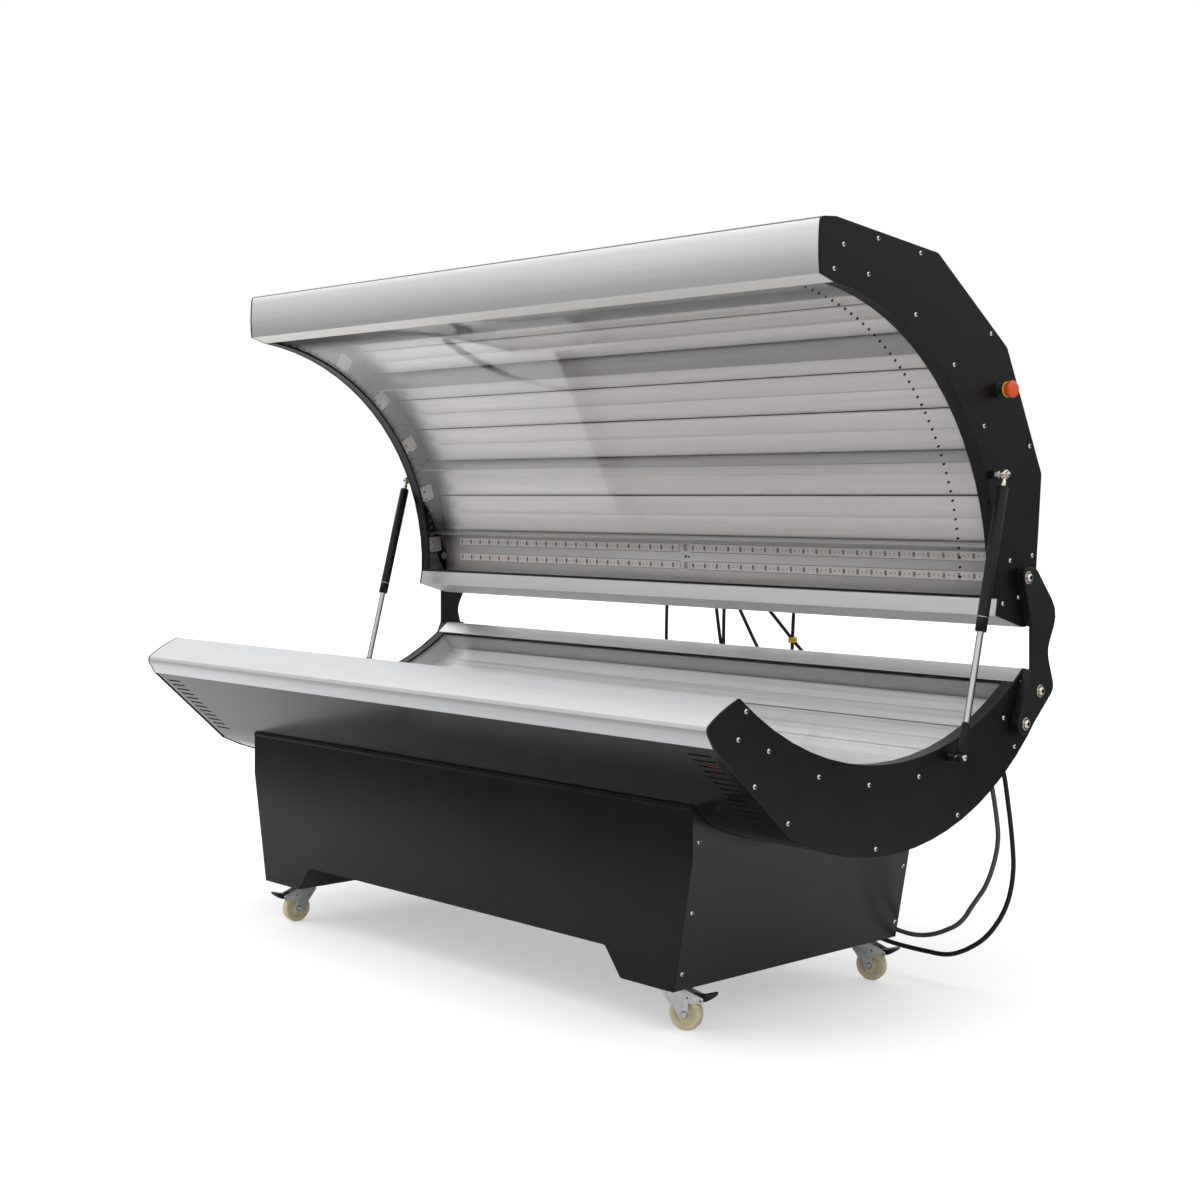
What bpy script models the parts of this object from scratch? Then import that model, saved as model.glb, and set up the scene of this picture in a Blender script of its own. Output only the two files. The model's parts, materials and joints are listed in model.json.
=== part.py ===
"""Infrared light therapy bed.

A low base on four casters carries a trough-shaped lying bed. A canopy closes over it on two hinge
arms, held by two gas struts. Metres, +Z up, X along the bed, the open front at -Y, the floor at z = 0.
"""
import math

import bmesh
import bpy
from mathutils import Matrix, Vector

OBJECT_NAME = "infrared_light_therapy_bed"

# Overall sizes
LENGTH = 2.2              # over the outer faces of the end plates
END_PLATE = 0.006         # thickness of an end plate
GAP = 0.0003              # between pieces that touch
SHEET = 0.003             # folded sheet of base, under panel and back cover
SKIN_INSET = 0.002        # folded covers lie this far inside the end plates' outline
ARC_STEP = 5.0            # degrees between the points of a large arc
ROUND_STEPS = 3           # points added on a rounded corner
TURN_STEPS = 16           # sides of a small turned piece
WHEEL_STEPS = 20
PIN_STEPS = 12            # sides of a pin
HOLD = 0.0005             # pieces to be joined are kept this far from flush

# Bed profile, as (y, z)
TROUGH_RADIUS = 0.7575
CREST_REACH = 0.4870      # from the middle of the trough to its front and rear crest
CREST_Z = 0.773           # top of the bed, front and rear
NOSE_CORNER = (-0.586, 0.7215)
NOSE_ROUND = 0.020
RAIL_LOWER_EDGE = (-0.559, 0.677)
NOSE_BOW = 0.004          # swell of the front rail's top
REAR_TOP_WIDTH = 0.053    # from the rear crest to the back
REAR_TOP_DROP = 0.008     # fall of the rear rail's top towards the back
REAR_CORNER_ROUND = 0.006
BELLY_CENTRE = (-0.0135, 1.1225)
BELLY_RADIUS = 0.7245
BELLY_FRONT_Y = -0.337    # where the front slope meets the round belly
FRONT_RAIL_LIP = 0.030
FRONT_RAIL_FOOT = 0.020
REAR_RAIL_WIDTH = 0.046
REAR_RAIL_DEPTH = 0.014

# Canopy profile at rest, open, as (y, z)
CANOPY_CENTRE = (-0.2788, 0.9673)
CANOPY_RADIUS = 0.6666
CANOPY_FRONT_ANGLE = 82.7
CANOPY_REAR_ANGLE = -2.4
FASCIA_LOW = (-0.240, 1.643)
FASCIA_TOP = (-0.2385, 1.764)
FASCIA_BOW = 0.004
FASCIA_ROUND = 0.018
FASCIA_DEPTH = 0.132      # of the front rail along its back face
TOP_FRONT = (-0.191, 1.7675)
TOP_REAR = (0.159, 1.7205)
SHOULDER = (0.420, 1.523)
BACK = (0.558, 1.230)
BACK_LOW = (0.536, 1.000)
TAIL = (0.500, 0.864)
SILL_LOW = (0.380, 0.900)
CORNER_ROUND = 0.022
SILL_DEPTH = 0.100
SILL_REAR_Z = 0.905

# Clear sheets, rims and LED boards
RIM_SETBACK = 0.001       # rim behind the edge of the end plate
RIM_THICKNESS = 0.003
RIM_WIDTH = 0.030
RIM_BITE = 0.002          # rim welded into the plate
ACRYLIC = 0.004
BOARD = 0.003             # thickness of an LED board, a fin and a tray wall
BED_BOARD_SPACE = 0.070   # from the acrylic to the folds of the LED tray
BED_BOARDS = 10
BED_TRAY_SETBACK = (1.5, 2.5)  # degrees inside the front and the rear crest
CANOPY_BOARD_SPACE = 0.090
CANOPY_GROUPS = ((82.7, 50.2, 4), (50.2, 24.7, 3), (24.7, 7.5, 2), (7.5, -2.4, 1))  # from, to, boards
CANOPY_FIN = 0.073        # depth of the fin between two groups of boards

# Base
BASE_FRONT_Y = -0.380
BASE_REAR_Y = 0.382
BASE_TOP_HALF = 0.860     # half length above the fold of the end panels
BASE_BOTTOM_HALF = 0.802
BASE_FOLD_Z = 0.403
BASE_BLANK_Z = 0.62       # panels start this tall and are cut under the belly
NOTCH_HEIGHT = 0.065
NOTCH_TOP_HALF = 0.585
NOTCH_BOTTOM_HALF = 0.636
NOTCH_ROUND = 0.012
SUPPLY_SIZE = (0.46, 0.28, 0.15)
SUPPLY_ROUND = 0.006

# Vent slots in the front slope
VENT_COUNT = 12
VENT_LENGTH = 0.063
VENT_HEIGHT = 0.0055
VENT_PITCH = 0.0195
VENT_START = 0.032        # below the rail's lower edge, along the slope
VENT_INSET = 0.030        # from the end plate's inner face

# Hinge
PIVOT = (0.467, 0.987)
ARM_THICKNESS = 0.025
ARM_RELIEF = (0.770, 0.872)  # heights between which the arm stands free
ARM_RELIEF_DEPTH = 0.0148
ARM_STUDS = ((0.514, 0.7195), (0.456, 0.647))
ARM_OUTLINE = (
    (0.441, 1.0120, 0.024), (0.500, 1.0100, 0.030), (0.5901, 0.9030, 0.060), (0.5435, 0.8130, 0.060),
    (0.5740, 0.7220, 0.030), (0.4560, 0.6145, 0.024), (0.4220, 0.6390, 0.018), (0.4827, 0.7720, 0.030),
    (0.4827, 0.8840, 0.030),
)
PIVOT_SHANK = 0.008       # radius
PIVOT_NUT = (0.012, 0.008)
STUD_SHANK = 0.006
STUD_STRIP_HALF = 0.011
STUD_STRIP_THICKNESS = 0.006
WASHER = (0.0150, 0.0025)
BOLT_HEAD = (0.0105, 0.0070)
HEAD_DOME = (0.7, 0.6)    # shares of radius and height where the head starts to round
BOLT_CLEARANCE = 0.0003

# Gas struts
STRUT_LOW = (0.192, 0.595)
STRUT_HIGH = (0.357, 1.227)
STRUT_OFFSET = 0.037      # strut axis outside the end plate's face
STRUT_CYLINDER = (0.0134, 0.339)
STRUT_NECK = 0.028        # from the eye to the cylinder
STRUT_NECK_RADIUS = 0.006
STRUT_ROD_RADIUS = 0.0078
STRUT_ROD_INSERT = 0.040  # rod inside the cylinder when the canopy is open
STRUT_BORE_DEPTH = 0.262
STRUT_SOCKET = (0.0105, 0.079)
SOCKET_TAPER = (0.8, 0.9)  # shares of radius and length at its upper end
SOCKET_START = 0.009      # from the lower pivot
STRUT_EYE = (0.0120, 0.013)
STRUT_STUD_SHANK = 0.005
STRUT_FLANGE = (0.011, 0.004)
STRUT_HEAD = (0.0075, 0.0063)
STRUT_SPACER = (0.0095, 0.0130)

# Emergency stop
STOP_AXIS = (0.385, 1.423)
STOP_COLLAR = (0.0160, 0.0150)
STOP_COLLAR_EDGE = (0.94, 0.85)  # shares of radius and height of its bevel
STOP_SHAFT = 0.007
STOP_TRAVEL = 0.006
STOP_RING = (0.0180, 0.0035)
STOP_CAP = (0.0200, 0.0205)
STOP_CAP_PROFILE = ((0.0, 1.0), (0.72, 1.0), (0.94, 0.88), (1.0, 0.68), (1.0, 0.4), (0.82, 0.0), (0.0, 0.0))

# Casters
CASTER_INSET = 0.076      # from the foot of a base end panel to the swivel axis
CASTER_FRONT_Y = -0.300
CASTER_REAR_Y = 0.344
CASTER_TURN = {"front_left": 262.0, "front_right": 27.0, "rear_left": 118.0, "rear_right": 14.0}
WHEEL_RADIUS = 0.0375
WHEEL_WIDTH = 0.024
WHEEL_HUB_RADIUS = 0.013
WHEEL_SHOULDER = 0.005    # rounding at the edge of the tread
WHEEL_CLEARANCE = 0.0154  # wheel to crown
CHEEK = 0.0025
CHEEK_SPACE = 0.0270      # between the cheeks
CASTER_TRAIL = 0.028
AXLE_RADIUS = 0.004
AXLE_HEAD = 0.003         # axle end outside a cheek
CROWN = 0.003
CROWN_REACH = 0.025       # crown in front of the swivel axis
RACE = (0.0220, 0.0110)
CASTER_PLATE = (0.092, 0.066, 0.003)
CASTER_PLATE_ROUND = 0.006
RACE_TAPER = (0.9, 0.3)   # shares of radius and height at its foot
PEDAL_PIVOT = (0.065, 0.0700)
PEDAL_REACH = 0.099
PEDAL_SHEET = 0.004
PEDAL_PIN = 0.0045
PEDAL_HEEL = (-0.024, 0.0085)  # from the pin, as (along, up)
PEDAL_BEND = (0.004, 0.0065)
PEDAL_TIP_UP = 0.0125
PEDAL_WEB = ((-0.003, 0.0), (0.003, 0.0), (0.003, 0.008), (-0.003, 0.010))
FORK_ARM_HALF = 0.006     # the arm that holds the pedal, half its height and its reach past the pin
FORK_ARM_ROUND = 0.003
FORK_FOOT_HALF = 0.009    # the cheek round the axle
FORK_FOOT_DROP = 0.010
FORK_FOOT_ROUND = 0.008
FORK_HEEL_DROP = 0.006
FORK_HEEL_ROUND = 0.004
FORK_INNER_DROP = 0.008

# Cords, as (x, y, z)
CORD_RADIUS = 0.0058
CABLE_RADIUS = 0.0048
GLAND = (0.0105, 0.014)
GLAND_TAPER = (0.8, 0.6)  # shares of radius and length at its outer end
CORD_POINT_STEP = 0.026
SPLINE_STEPS = 16         # fine steps between two points of a route
CORD_LEAD = 0.020         # straight stretch at each end
CORD_EXITS = ((1.045, 0.452), (1.016, 0.424))   # x, y on the belly
CORD_ENTRIES = ((0.545, 0.205), (0.690, 0.1225))  # x, z on the rear panel
CORD_ROUTES = (
    ((1.048, 0.483, 0.508), (1.051, 0.488, 0.468), (1.057, 0.493, 0.404), (1.058, 0.502, 0.332),
     (1.058, 0.502, 0.282), (1.050, 0.497, 0.225), (1.028, 0.492, 0.172), (0.990, 0.482, 0.120),
     (0.939, 0.470, 0.084), (0.894, 0.462, 0.068), (0.846, 0.460, 0.066), (0.800, 0.460, 0.066),
     (0.752, 0.461, 0.067), (0.700, 0.463, 0.071), (0.655, 0.465, 0.0785), (0.622, 0.466, 0.089),
     (0.601, 0.466, 0.110), (0.586, 0.466, 0.136), (0.570, 0.466, 0.1625), (0.5523, 0.4517, 0.1926)),
    ((1.028, 0.458, 0.490), (1.037, 0.468, 0.404), (1.033, 0.476, 0.356), (1.018, 0.481, 0.303),
     (0.995, 0.481, 0.247), (0.964, 0.476, 0.200), (0.930, 0.467, 0.150), (0.876, 0.463, 0.119),
     (0.832, 0.465, 0.104), (0.790, 0.467, 0.098), (0.750, 0.466, 0.100), (0.715, 0.456, 0.110),
     (0.698, 0.440, 0.1175)),
)
CABLE_TOP_Z = 0.945       # on the canopy's back cover
CABLE_LOW_Z = 0.695       # on the back of the bed
CABLE_LEAD = 0.010
CABLE_POINT_STEP = 0.012
CABLE_RUN = (             # share of the way from the upper x to the lower x, y, z
    (0.0, 0.5561, 0.9251), (0.0, 0.5665, 0.8946), (0.32, 0.5730, 0.8430),
    (0.6555, 0.5798, 0.7890), (1.0, 0.5868, 0.7335), (1.0, 0.5755, 0.7063),
)
CABLES = (                # x at the canopy, x at the bed, for the cables of each node
    ((-0.1730, -0.1978),), ((0.0180, 0.0254), (0.0531, 0.0306)), ((0.0935, 0.1768),),
)
TIED_CABLES = ((0.1922, 0.3500), (0.3119, 0.2848))
TIE = (0.0125, 0.016)
TIE_POINT = 3             # point of the run that the tie goes round


# Values that follow from those above
HALF = LENGTH / 2
INNER = HALF - END_PLATE - GAP
CROWN_LOW = 2 * WHEEL_RADIUS + WHEEL_CLEARANCE
RACE_LOW = CROWN_LOW + CROWN + GAP
PLATE_LOW = RACE_LOW + RACE[1]
BASE_BOTTOM = PLATE_LOW + CASTER_PLATE[2] + GAP
CASTER_X = BASE_BOTTOM_HALF - CASTER_INSET
STRUT_X = HALF + STRUT_OFFSET
STRUT_LENGTH = math.dist(STRUT_LOW, STRUT_HIGH)
STRUT_ANGLE = math.atan2(STRUT_HIGH[1] - STRUT_LOW[1], STRUT_HIGH[0] - STRUT_LOW[0])


# Collections and finishes

def clear_scene():
    """Remove every object of the scene."""
    for old in list(bpy.data.objects):
        bpy.data.objects.remove(old, do_unlink=True)


def new_collection(name):
    """A collection of that name, linked to the scene."""
    made = bpy.data.collections.new(name)
    bpy.context.scene.collection.children.link(made)
    return made


def finish(name, colour, roughness, metallic=0.0, alpha=1.0):
    """A Principled material."""
    made = bpy.data.materials.new(name)
    made.use_nodes = True
    shader = made.node_tree.nodes["Principled BSDF"]
    shader.inputs["Base Color"].default_value = (*colour, 1.0)
    shader.inputs["Roughness"].default_value = roughness
    shader.inputs["Metallic"].default_value = metallic
    shader.inputs["Alpha"].default_value = alpha
    return made


clear_scene()
PARTS = new_collection(OBJECT_NAME)
CUTTERS = new_collection("cutters")

LOOKS = {
    "black": ((0.021, 0.021, 0.022), 0.42, 0.0),
    "gloss_black": ((0.012, 0.012, 0.013), 0.16, 0.0),
    "silver": ((0.72, 0.72, 0.73), 0.34, 0.9),
    "clear": ((0.93, 0.94, 0.95), 0.05, 0.0),
    "board": ((0.78, 0.77, 0.75), 0.5, 0.0),
    "zinc": ((0.66, 0.67, 0.67), 0.32, 0.9),
    "nickel": ((0.75, 0.73, 0.69), 0.22, 1.0),
    "steel": ((0.60, 0.60, 0.61), 0.2, 1.0),
    "wheel": ((0.62, 0.53, 0.34), 0.45, 0.0),
    "rubber": ((0.018, 0.018, 0.019), 0.6, 0.0),
    "grey_rubber": ((0.085, 0.075, 0.07), 0.55, 0.0),
    "red": ((0.82, 0.09, 0.03), 0.35, 0.0),
    "yellow": ((0.85, 0.58, 0.05), 0.4, 0.0),
}


def place(part, look, where=None):
    """Put an object in the parts' collection, with a finish of its own."""
    (where or PARTS).objects.link(part)
    colour, roughness, metallic = LOOKS[look]
    part.data.materials.clear()
    part.data.materials.append(
        finish(f"{part.name}_finish", colour, roughness, metallic, 0.25 if look == "clear" else 1.0))
    return part


# Outlines

def arc(centre, radius, start, end, step=ARC_STEP):
    """Points on a circle from one angle to another, in degrees."""
    count = max(2, math.ceil(abs(end - start) / step))
    angles = [math.radians(start + (end - start) * i / count) for i in range(count + 1)]
    return [(centre[0] + radius * math.cos(a), centre[1] + radius * math.sin(a)) for a in angles]


def on_circle(centre, radius, angle):
    """The point of a circle at an angle in degrees."""
    turn = math.radians(angle)
    return (centre[0] + radius * math.cos(turn), centre[1] + radius * math.sin(turn))


def circle(centre, radius, steps=TURN_STEPS):
    """A closed round outline."""
    return arc(centre, radius, 0.0, 360.0 - 360.0 / steps, 360.0 / steps)


def bow(start, end, rise, steps=6):
    """Points of a shallow arch between two points, risen to the left of the way, without its end."""
    a, b = Vector(start), Vector(end)
    side = Vector((a.y - b.y, b.x - a.x)).normalized()
    return [tuple(a.lerp(b, i / steps) + side * rise * 4 * (i / steps) * (1 - i / steps))
            for i in range(steps)]


def rounded(corners):
    """An outline whose corners (y, z, radius) are rounded where the radius isn't 0."""
    points = []
    for i, (y, z, radius) in enumerate(corners):
        here = Vector((y, z))
        if radius <= 0:
            points.append((y, z))
            continue
        before = Vector(corners[i - 1][:2]) - here
        after = Vector(corners[(i + 1) % len(corners)][:2]) - here
        half = before.angle(after) / 2
        reach = min(radius / math.tan(half), 0.49 * before.length, 0.49 * after.length)
        first = here + before.normalized() * reach
        last = here + after.normalized() * reach
        for k in range(ROUND_STEPS + 1):
            t = k / ROUND_STEPS
            points.append(tuple(first * (1 - t) ** 2 + here * 2 * t * (1 - t) + last * t ** 2))
    return points


def rounded_box(x, y, width, depth, radius):
    """The outline of a box with rounded corners about a point."""
    return rounded([(x - width / 2, y - depth / 2, radius), (x + width / 2, y - depth / 2, radius),
                    (x + width / 2, y + depth / 2, radius), (x - width / 2, y + depth / 2, radius)])


def offset_path(points, distance):
    """An open path moved to the left of its way, with mitred corners."""
    ends = [Vector(p) for p in points]
    sides = []
    for a, b in zip(ends, ends[1:]):
        way = (b - a).normalized()
        sides.append(Vector((-way.y, way.x)))
    moved = [ends[0] + sides[0] * distance]
    for here, one, two in zip(ends[1:], sides, sides[1:]):
        middle = (one + two).normalized()
        moved.append(here + middle * distance / middle.dot(one))
    moved.append(ends[-1] + sides[-1] * distance)
    return [tuple(p) for p in moved]


def strip(points, near, far):
    """The outline of a sheet between two offsets of a path."""
    return offset_path(points, near) + offset_path(points, far)[::-1]


# Solids

TURNS = {
    "x": (math.pi / 2, 0.0, math.pi / 2),   # outline (y, z), pushed along X
    "y": (math.pi / 2, 0.0, 0.0),           # outline (x, z), pushed along Y
    "z": (0.0, 0.0, 0.0),                   # outline (x, y), pushed along Z
}


def pushed(name, outlines, low, high, look, axis="x", where=None):
    """A flat outline pushed from low to high along an axis. Outlines inside the first are holes."""
    shape = bpy.data.curves.new(name, "CURVE")
    shape.dimensions = "2D"
    shape.fill_mode = "BOTH"
    shape.extrude = (high - low) / 2
    for outline in outlines:
        spline = shape.splines.new("POLY")
        spline.points.add(len(outline) - 1)
        spline.use_cyclic_u = True
        for point, (u, v) in zip(spline.points, outline):
            point.co = (u, v, 0.0, 1.0)
    made = bpy.data.objects.new(name, shape)
    made.rotation_euler = TURNS[axis]
    middle = (low + high) / 2
    made.location = {"x": (middle, 0, 0), "y": (0, middle, 0), "z": (0, 0, middle)}[axis]
    return place(made, look, where)


def turned(name, profile, look, where=None, steps=TURN_STEPS):
    """A profile (radius, z), run down its outer side, turned about Z."""
    mesh = bpy.data.meshes.new(name)
    shape = bmesh.new()
    points = [shape.verts.new((r, 0.0, z)) for r, z in profile]
    for a, b in zip(points, points[1:]):
        shape.edges.new((a, b))
    if profile[0][0] > 0:
        shape.edges.new((points[-1], points[0]))
    shape.to_mesh(mesh)
    shape.free()
    made = bpy.data.objects.new(name, mesh)
    screw = made.modifiers.new("turn", "SCREW")
    screw.steps = screw.render_steps = steps
    screw.use_merge_vertices = True
    screw.merge_threshold = 0.00005
    screw.use_smooth_shade = True
    return place(made, look, where)


def tube(name, points, radius, look, where=None):
    """A round cord through points, with closed ends."""
    shape = bpy.data.curves.new(name, "CURVE")
    shape.dimensions = "3D"
    shape.bevel_depth = radius
    shape.bevel_resolution = 2
    shape.use_fill_caps = True
    spline = shape.splines.new("POLY")
    spline.points.add(len(points) - 1)
    for point, place_at in zip(spline.points, points):
        point.co = (*place_at, 1.0)
    return place(bpy.data.objects.new(name, shape), look, where)


def baked(source):
    """The object as a plain mesh, welded, under the same name and place."""
    bpy.context.view_layer.update()
    seen = source.evaluated_get(bpy.context.evaluated_depsgraph_get())
    mesh = bpy.data.meshes.new_from_object(seen)
    shape = bmesh.new()
    shape.from_mesh(mesh)
    bmesh.ops.remove_doubles(shape, verts=shape.verts, dist=0.000005)
    bmesh.ops.recalc_face_normals(shape, faces=shape.faces)
    shape.to_mesh(mesh)
    shape.free()
    name, matrix, group = source.name, source.matrix_world.copy(), source.users_collection[0]
    bpy.data.objects.remove(source, do_unlink=True)
    made = bpy.data.objects.new(name, mesh)
    made.matrix_world = matrix
    mesh.name = name
    group.objects.link(made)
    return made


def hide(cutter):
    """Keep a cutter out of the finished object."""
    cutter.hide_render = True
    cutter.display_type = "WIRE"


def combine(target, others, how):
    """Join others to the target, or cut them out of it, and bake the result."""
    for other in others:
        change = target.modifiers.new(how.lower(), "BOOLEAN")
        change.operation = how
        change.object = other
    made = baked(target)
    for other in others:
        hide(other)
    return made


def along_x(made, x, y, z, mirrored):
    """Lay a piece turned about Z along X, pointing outwards from the end it sits at."""
    made.location = (-x if mirrored else x, y, z)
    made.rotation_euler = (0.0, -math.pi / 2 if mirrored else math.pi / 2, 0.0)
    return made


def sides():
    """Both ends of the bed: name and mirror flag."""
    return (("left", True), ("right", False))


def push_at_end(name, outlines, low, high, look, mirrored, where=None):
    """A flat piece at one end, given by its distances from the middle of the bed."""
    if mirrored:
        low, high = -high, -low
    return pushed(name, outlines, low, high, look, "x", where)


# Profiles of the bed

TROUGH_CENTRE = (0.0, CREST_Z + math.sqrt(TROUGH_RADIUS ** 2 - CREST_REACH ** 2))
CREST_ANGLE = math.degrees(math.atan2(CREST_Z - TROUGH_CENTRE[1], CREST_REACH))
BED_REAR_Y = CREST_REACH + REAR_TOP_WIDTH
BED_TRAY_FROM = -180.0 - CREST_ANGLE + BED_TRAY_SETBACK[0]
BED_TRAY_TO = CREST_ANGLE - BED_TRAY_SETBACK[1]
FRONT_CREST = (TROUGH_CENTRE[0] - CREST_REACH, CREST_Z)
REAR_CREST = (TROUGH_CENTRE[0] + CREST_REACH, CREST_Z)
REAR_CORNER = (BED_REAR_Y, CREST_Z - REAR_TOP_DROP)
REAR_RAIL_ANGLE = CREST_ANGLE - math.degrees(REAR_RAIL_WIDTH / TROUGH_RADIUS)
REAR_RAIL_LOW = on_circle(TROUGH_CENTRE, TROUGH_RADIUS + REAR_RAIL_DEPTH, REAR_RAIL_ANGLE)
GAP_ANGLE = math.degrees(GAP / TROUGH_RADIUS)
TROUGH_FROM = -180.0 - CREST_ANGLE + GAP_ANGLE
TROUGH_TO = REAR_RAIL_ANGLE - GAP_ANGLE


def belly_z(y):
    """Height of the round belly at a depth."""
    return BELLY_CENTRE[1] - math.sqrt(BELLY_RADIUS ** 2 - (y - BELLY_CENTRE[0]) ** 2)


def belly_angle(y):
    """Angle on the belly's circle at a depth."""
    return math.degrees(math.atan2(belly_z(y) - BELLY_CENTRE[1], y - BELLY_CENTRE[0]))


SLOPE_END = (BELLY_FRONT_Y, belly_z(BELLY_FRONT_Y))
SLOPE_WAY = (Vector(SLOPE_END) - Vector(RAIL_LOWER_EDGE)).normalized()
SLOPE_IN = Vector((-SLOPE_WAY.y, SLOPE_WAY.x))


def underside(start=0.0, top=REAR_CORNER[1]):
    """The bed's lower outline from the front rail round to the back, as a path."""
    first = tuple(Vector(RAIL_LOWER_EDGE) + SLOPE_WAY * start)
    round_part = arc(BELLY_CENTRE, BELLY_RADIUS, belly_angle(BELLY_FRONT_Y), belly_angle(BED_REAR_Y))
    return [first] + round_part + [(BED_REAR_Y, top)]


def nose():
    """The front rail's outer face, from its lower edge over the nose to just before the crest."""
    corner = rounded([(*RAIL_LOWER_EDGE, 0), (*NOSE_CORNER, NOSE_ROUND), (*FRONT_CREST, 0)])
    swell = bow(corner[-2], FRONT_CREST, -NOSE_BOW)
    return corner[:-2] + swell


def bed_end_outline():
    """An end plate of the bed."""
    trough = arc(TROUGH_CENTRE, TROUGH_RADIUS, CREST_ANGLE, -180.0 - CREST_ANGLE)
    over_nose = nose()[::-1]
    under = underside()[1:-1]
    back = rounded([(*under[-1], 0), (*REAR_CORNER, REAR_CORNER_ROUND), (*REAR_CREST, 0)])
    return trough + over_nose + under + back[1:-1]


def front_rail_outline():
    """The bed's front rail."""
    lip = on_circle(TROUGH_CENTRE, TROUGH_RADIUS + FRONT_RAIL_LIP, -180.0 - CREST_ANGLE)
    foot = tuple(Vector(RAIL_LOWER_EDGE) + SLOPE_IN * FRONT_RAIL_FOOT)
    return nose() + [FRONT_CREST, lip, foot]


def rear_rail_outline():
    """The bed's rear rail."""
    inner = on_circle(TROUGH_CENTRE, TROUGH_RADIUS, REAR_RAIL_ANGLE)
    back = rounded([(BED_REAR_Y, REAR_RAIL_LOW[1], 0), (*REAR_CORNER, REAR_CORNER_ROUND), (*REAR_CREST, 0)])
    return back + [inner, REAR_RAIL_LOW]


def ring_sector(centre, near, far, start, end):
    """A strip of a ring, as an outline."""
    return arc(centre, near, start, end) + arc(centre, far, end, start)


def folded_ring(centre, radius, angles, low_fin=0.0, high_fin=0.0):
    """LED boards folded at the angles of a circle, as an outline, with a fin of some depth at an end."""
    inner = [on_circle(centre, radius, a) for a in angles]
    outer = [on_circle(centre, radius + BOARD, a) for a in reversed(angles)]
    if low_fin:
        near = radius - low_fin
        inner[:1] = [on_circle(centre, near, angles[0]),
                     on_circle(centre, near, angles[0] + math.degrees(BOARD / near)),
                     on_circle(centre, radius, angles[0] + math.degrees(BOARD / radius))]
    if high_fin:
        near = radius - high_fin
        inner[-1:] = [on_circle(centre, radius, angles[-1] - math.degrees(BOARD / radius)),
                      on_circle(centre, near, angles[-1] - math.degrees(BOARD / near)),
                      on_circle(centre, near, angles[-1])]
    return inner + outer


def spread(start, end, count):
    """Angles from start to end in equal steps."""
    return [start + (end - start) * i / count for i in range(count + 1)]


# Profiles of the canopy

CANOPY_GAP_ANGLE = math.degrees(GAP / CANOPY_RADIUS)
CANOPY_FROM = CANOPY_REAR_ANGLE + CANOPY_GAP_ANGLE
CANOPY_TO = CANOPY_FRONT_ANGLE - CANOPY_GAP_ANGLE
FASCIA_INNER = on_circle(CANOPY_CENTRE, CANOPY_RADIUS, CANOPY_FRONT_ANGLE)
FASCIA_BACK = on_circle(CANOPY_CENTRE, CANOPY_RADIUS + FASCIA_DEPTH, CANOPY_FRONT_ANGLE)
SILL_INNER = on_circle(CANOPY_CENTRE, CANOPY_RADIUS, CANOPY_REAR_ANGLE)
SILL_BACK = on_circle(CANOPY_CENTRE, CANOPY_RADIUS + SILL_DEPTH, CANOPY_REAR_ANGLE)


def tail_point(z):
    """The point of the canopy's rear edge, between its low back and its tail, at a height."""
    t = (z - TAIL[1]) / (BACK_LOW[1] - TAIL[1])
    return (TAIL[0] + t * (BACK_LOW[0] - TAIL[0]), z)


def fascia():
    """The front rail's face, from its lower edge up, without the top corner."""
    return bow(FASCIA_LOW, FASCIA_TOP, FASCIA_BOW)


def canopy_end_outline():
    """An end plate of the canopy."""
    opening = arc(CANOPY_CENTRE, CANOPY_RADIUS, CANOPY_REAR_ANGLE, CANOPY_FRONT_ANGLE)
    face = fascia()
    rest = rounded([(*face[-1], 0), (*FASCIA_TOP, FASCIA_ROUND), (*TOP_FRONT, CORNER_ROUND),
                    (*TOP_REAR, CORNER_ROUND), (*SHOULDER, CORNER_ROUND), (*BACK, CORNER_ROUND),
                    (*BACK_LOW, CORNER_ROUND), (*TAIL, CORNER_ROUND), (*SILL_LOW, 0)])
    return opening + face[:-1] + rest


def canopy_front_rail_outline():
    """The canopy's front rail."""
    face = fascia()
    top = rounded([(*face[-1], 0), (*FASCIA_TOP, FASCIA_ROUND), (*TOP_FRONT, 0), (*FASCIA_BACK, 0)])
    return face[:-1] + top + [FASCIA_INNER]


def canopy_rear_rail_outline():
    """The canopy's rear rail."""
    corner = rounded([(*SILL_LOW, 0), (*TAIL, CORNER_ROUND), (*tail_point(SILL_REAR_Z), 0)])
    behind = offset_path([corner[-2], corner[-1]], SKIN_INSET)[1]
    return [SILL_INNER] + corner[:-2] + [behind, SILL_BACK]


def back_path():
    """The canopy's back from the front rail round to the rear rail, as a path."""
    start = Vector(TOP_FRONT)
    way = (Vector(TOP_REAR) - start).normalized()
    first = tuple(start + way * (FASCIA_BACK[0] - TOP_FRONT[0] + 2 * SHEET))
    return [first, TOP_REAR, SHOULDER, BACK, BACK_LOW, tail_point(SILL_REAR_Z + SHEET)]


# The bed

def rim(name, centre, radius, start, end, mirrored):
    """The dark rim inside an end plate, which holds the acrylic down."""
    near = radius + RIM_SETBACK
    outline = ring_sector(centre, near, near + RIM_THICKNESS, start, end)
    low = HALF - END_PLATE - RIM_WIDTH
    return baked(push_at_end(name, [outline], low, HALF - END_PLATE + RIM_BITE, "black", mirrored, CUTTERS))


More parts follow.
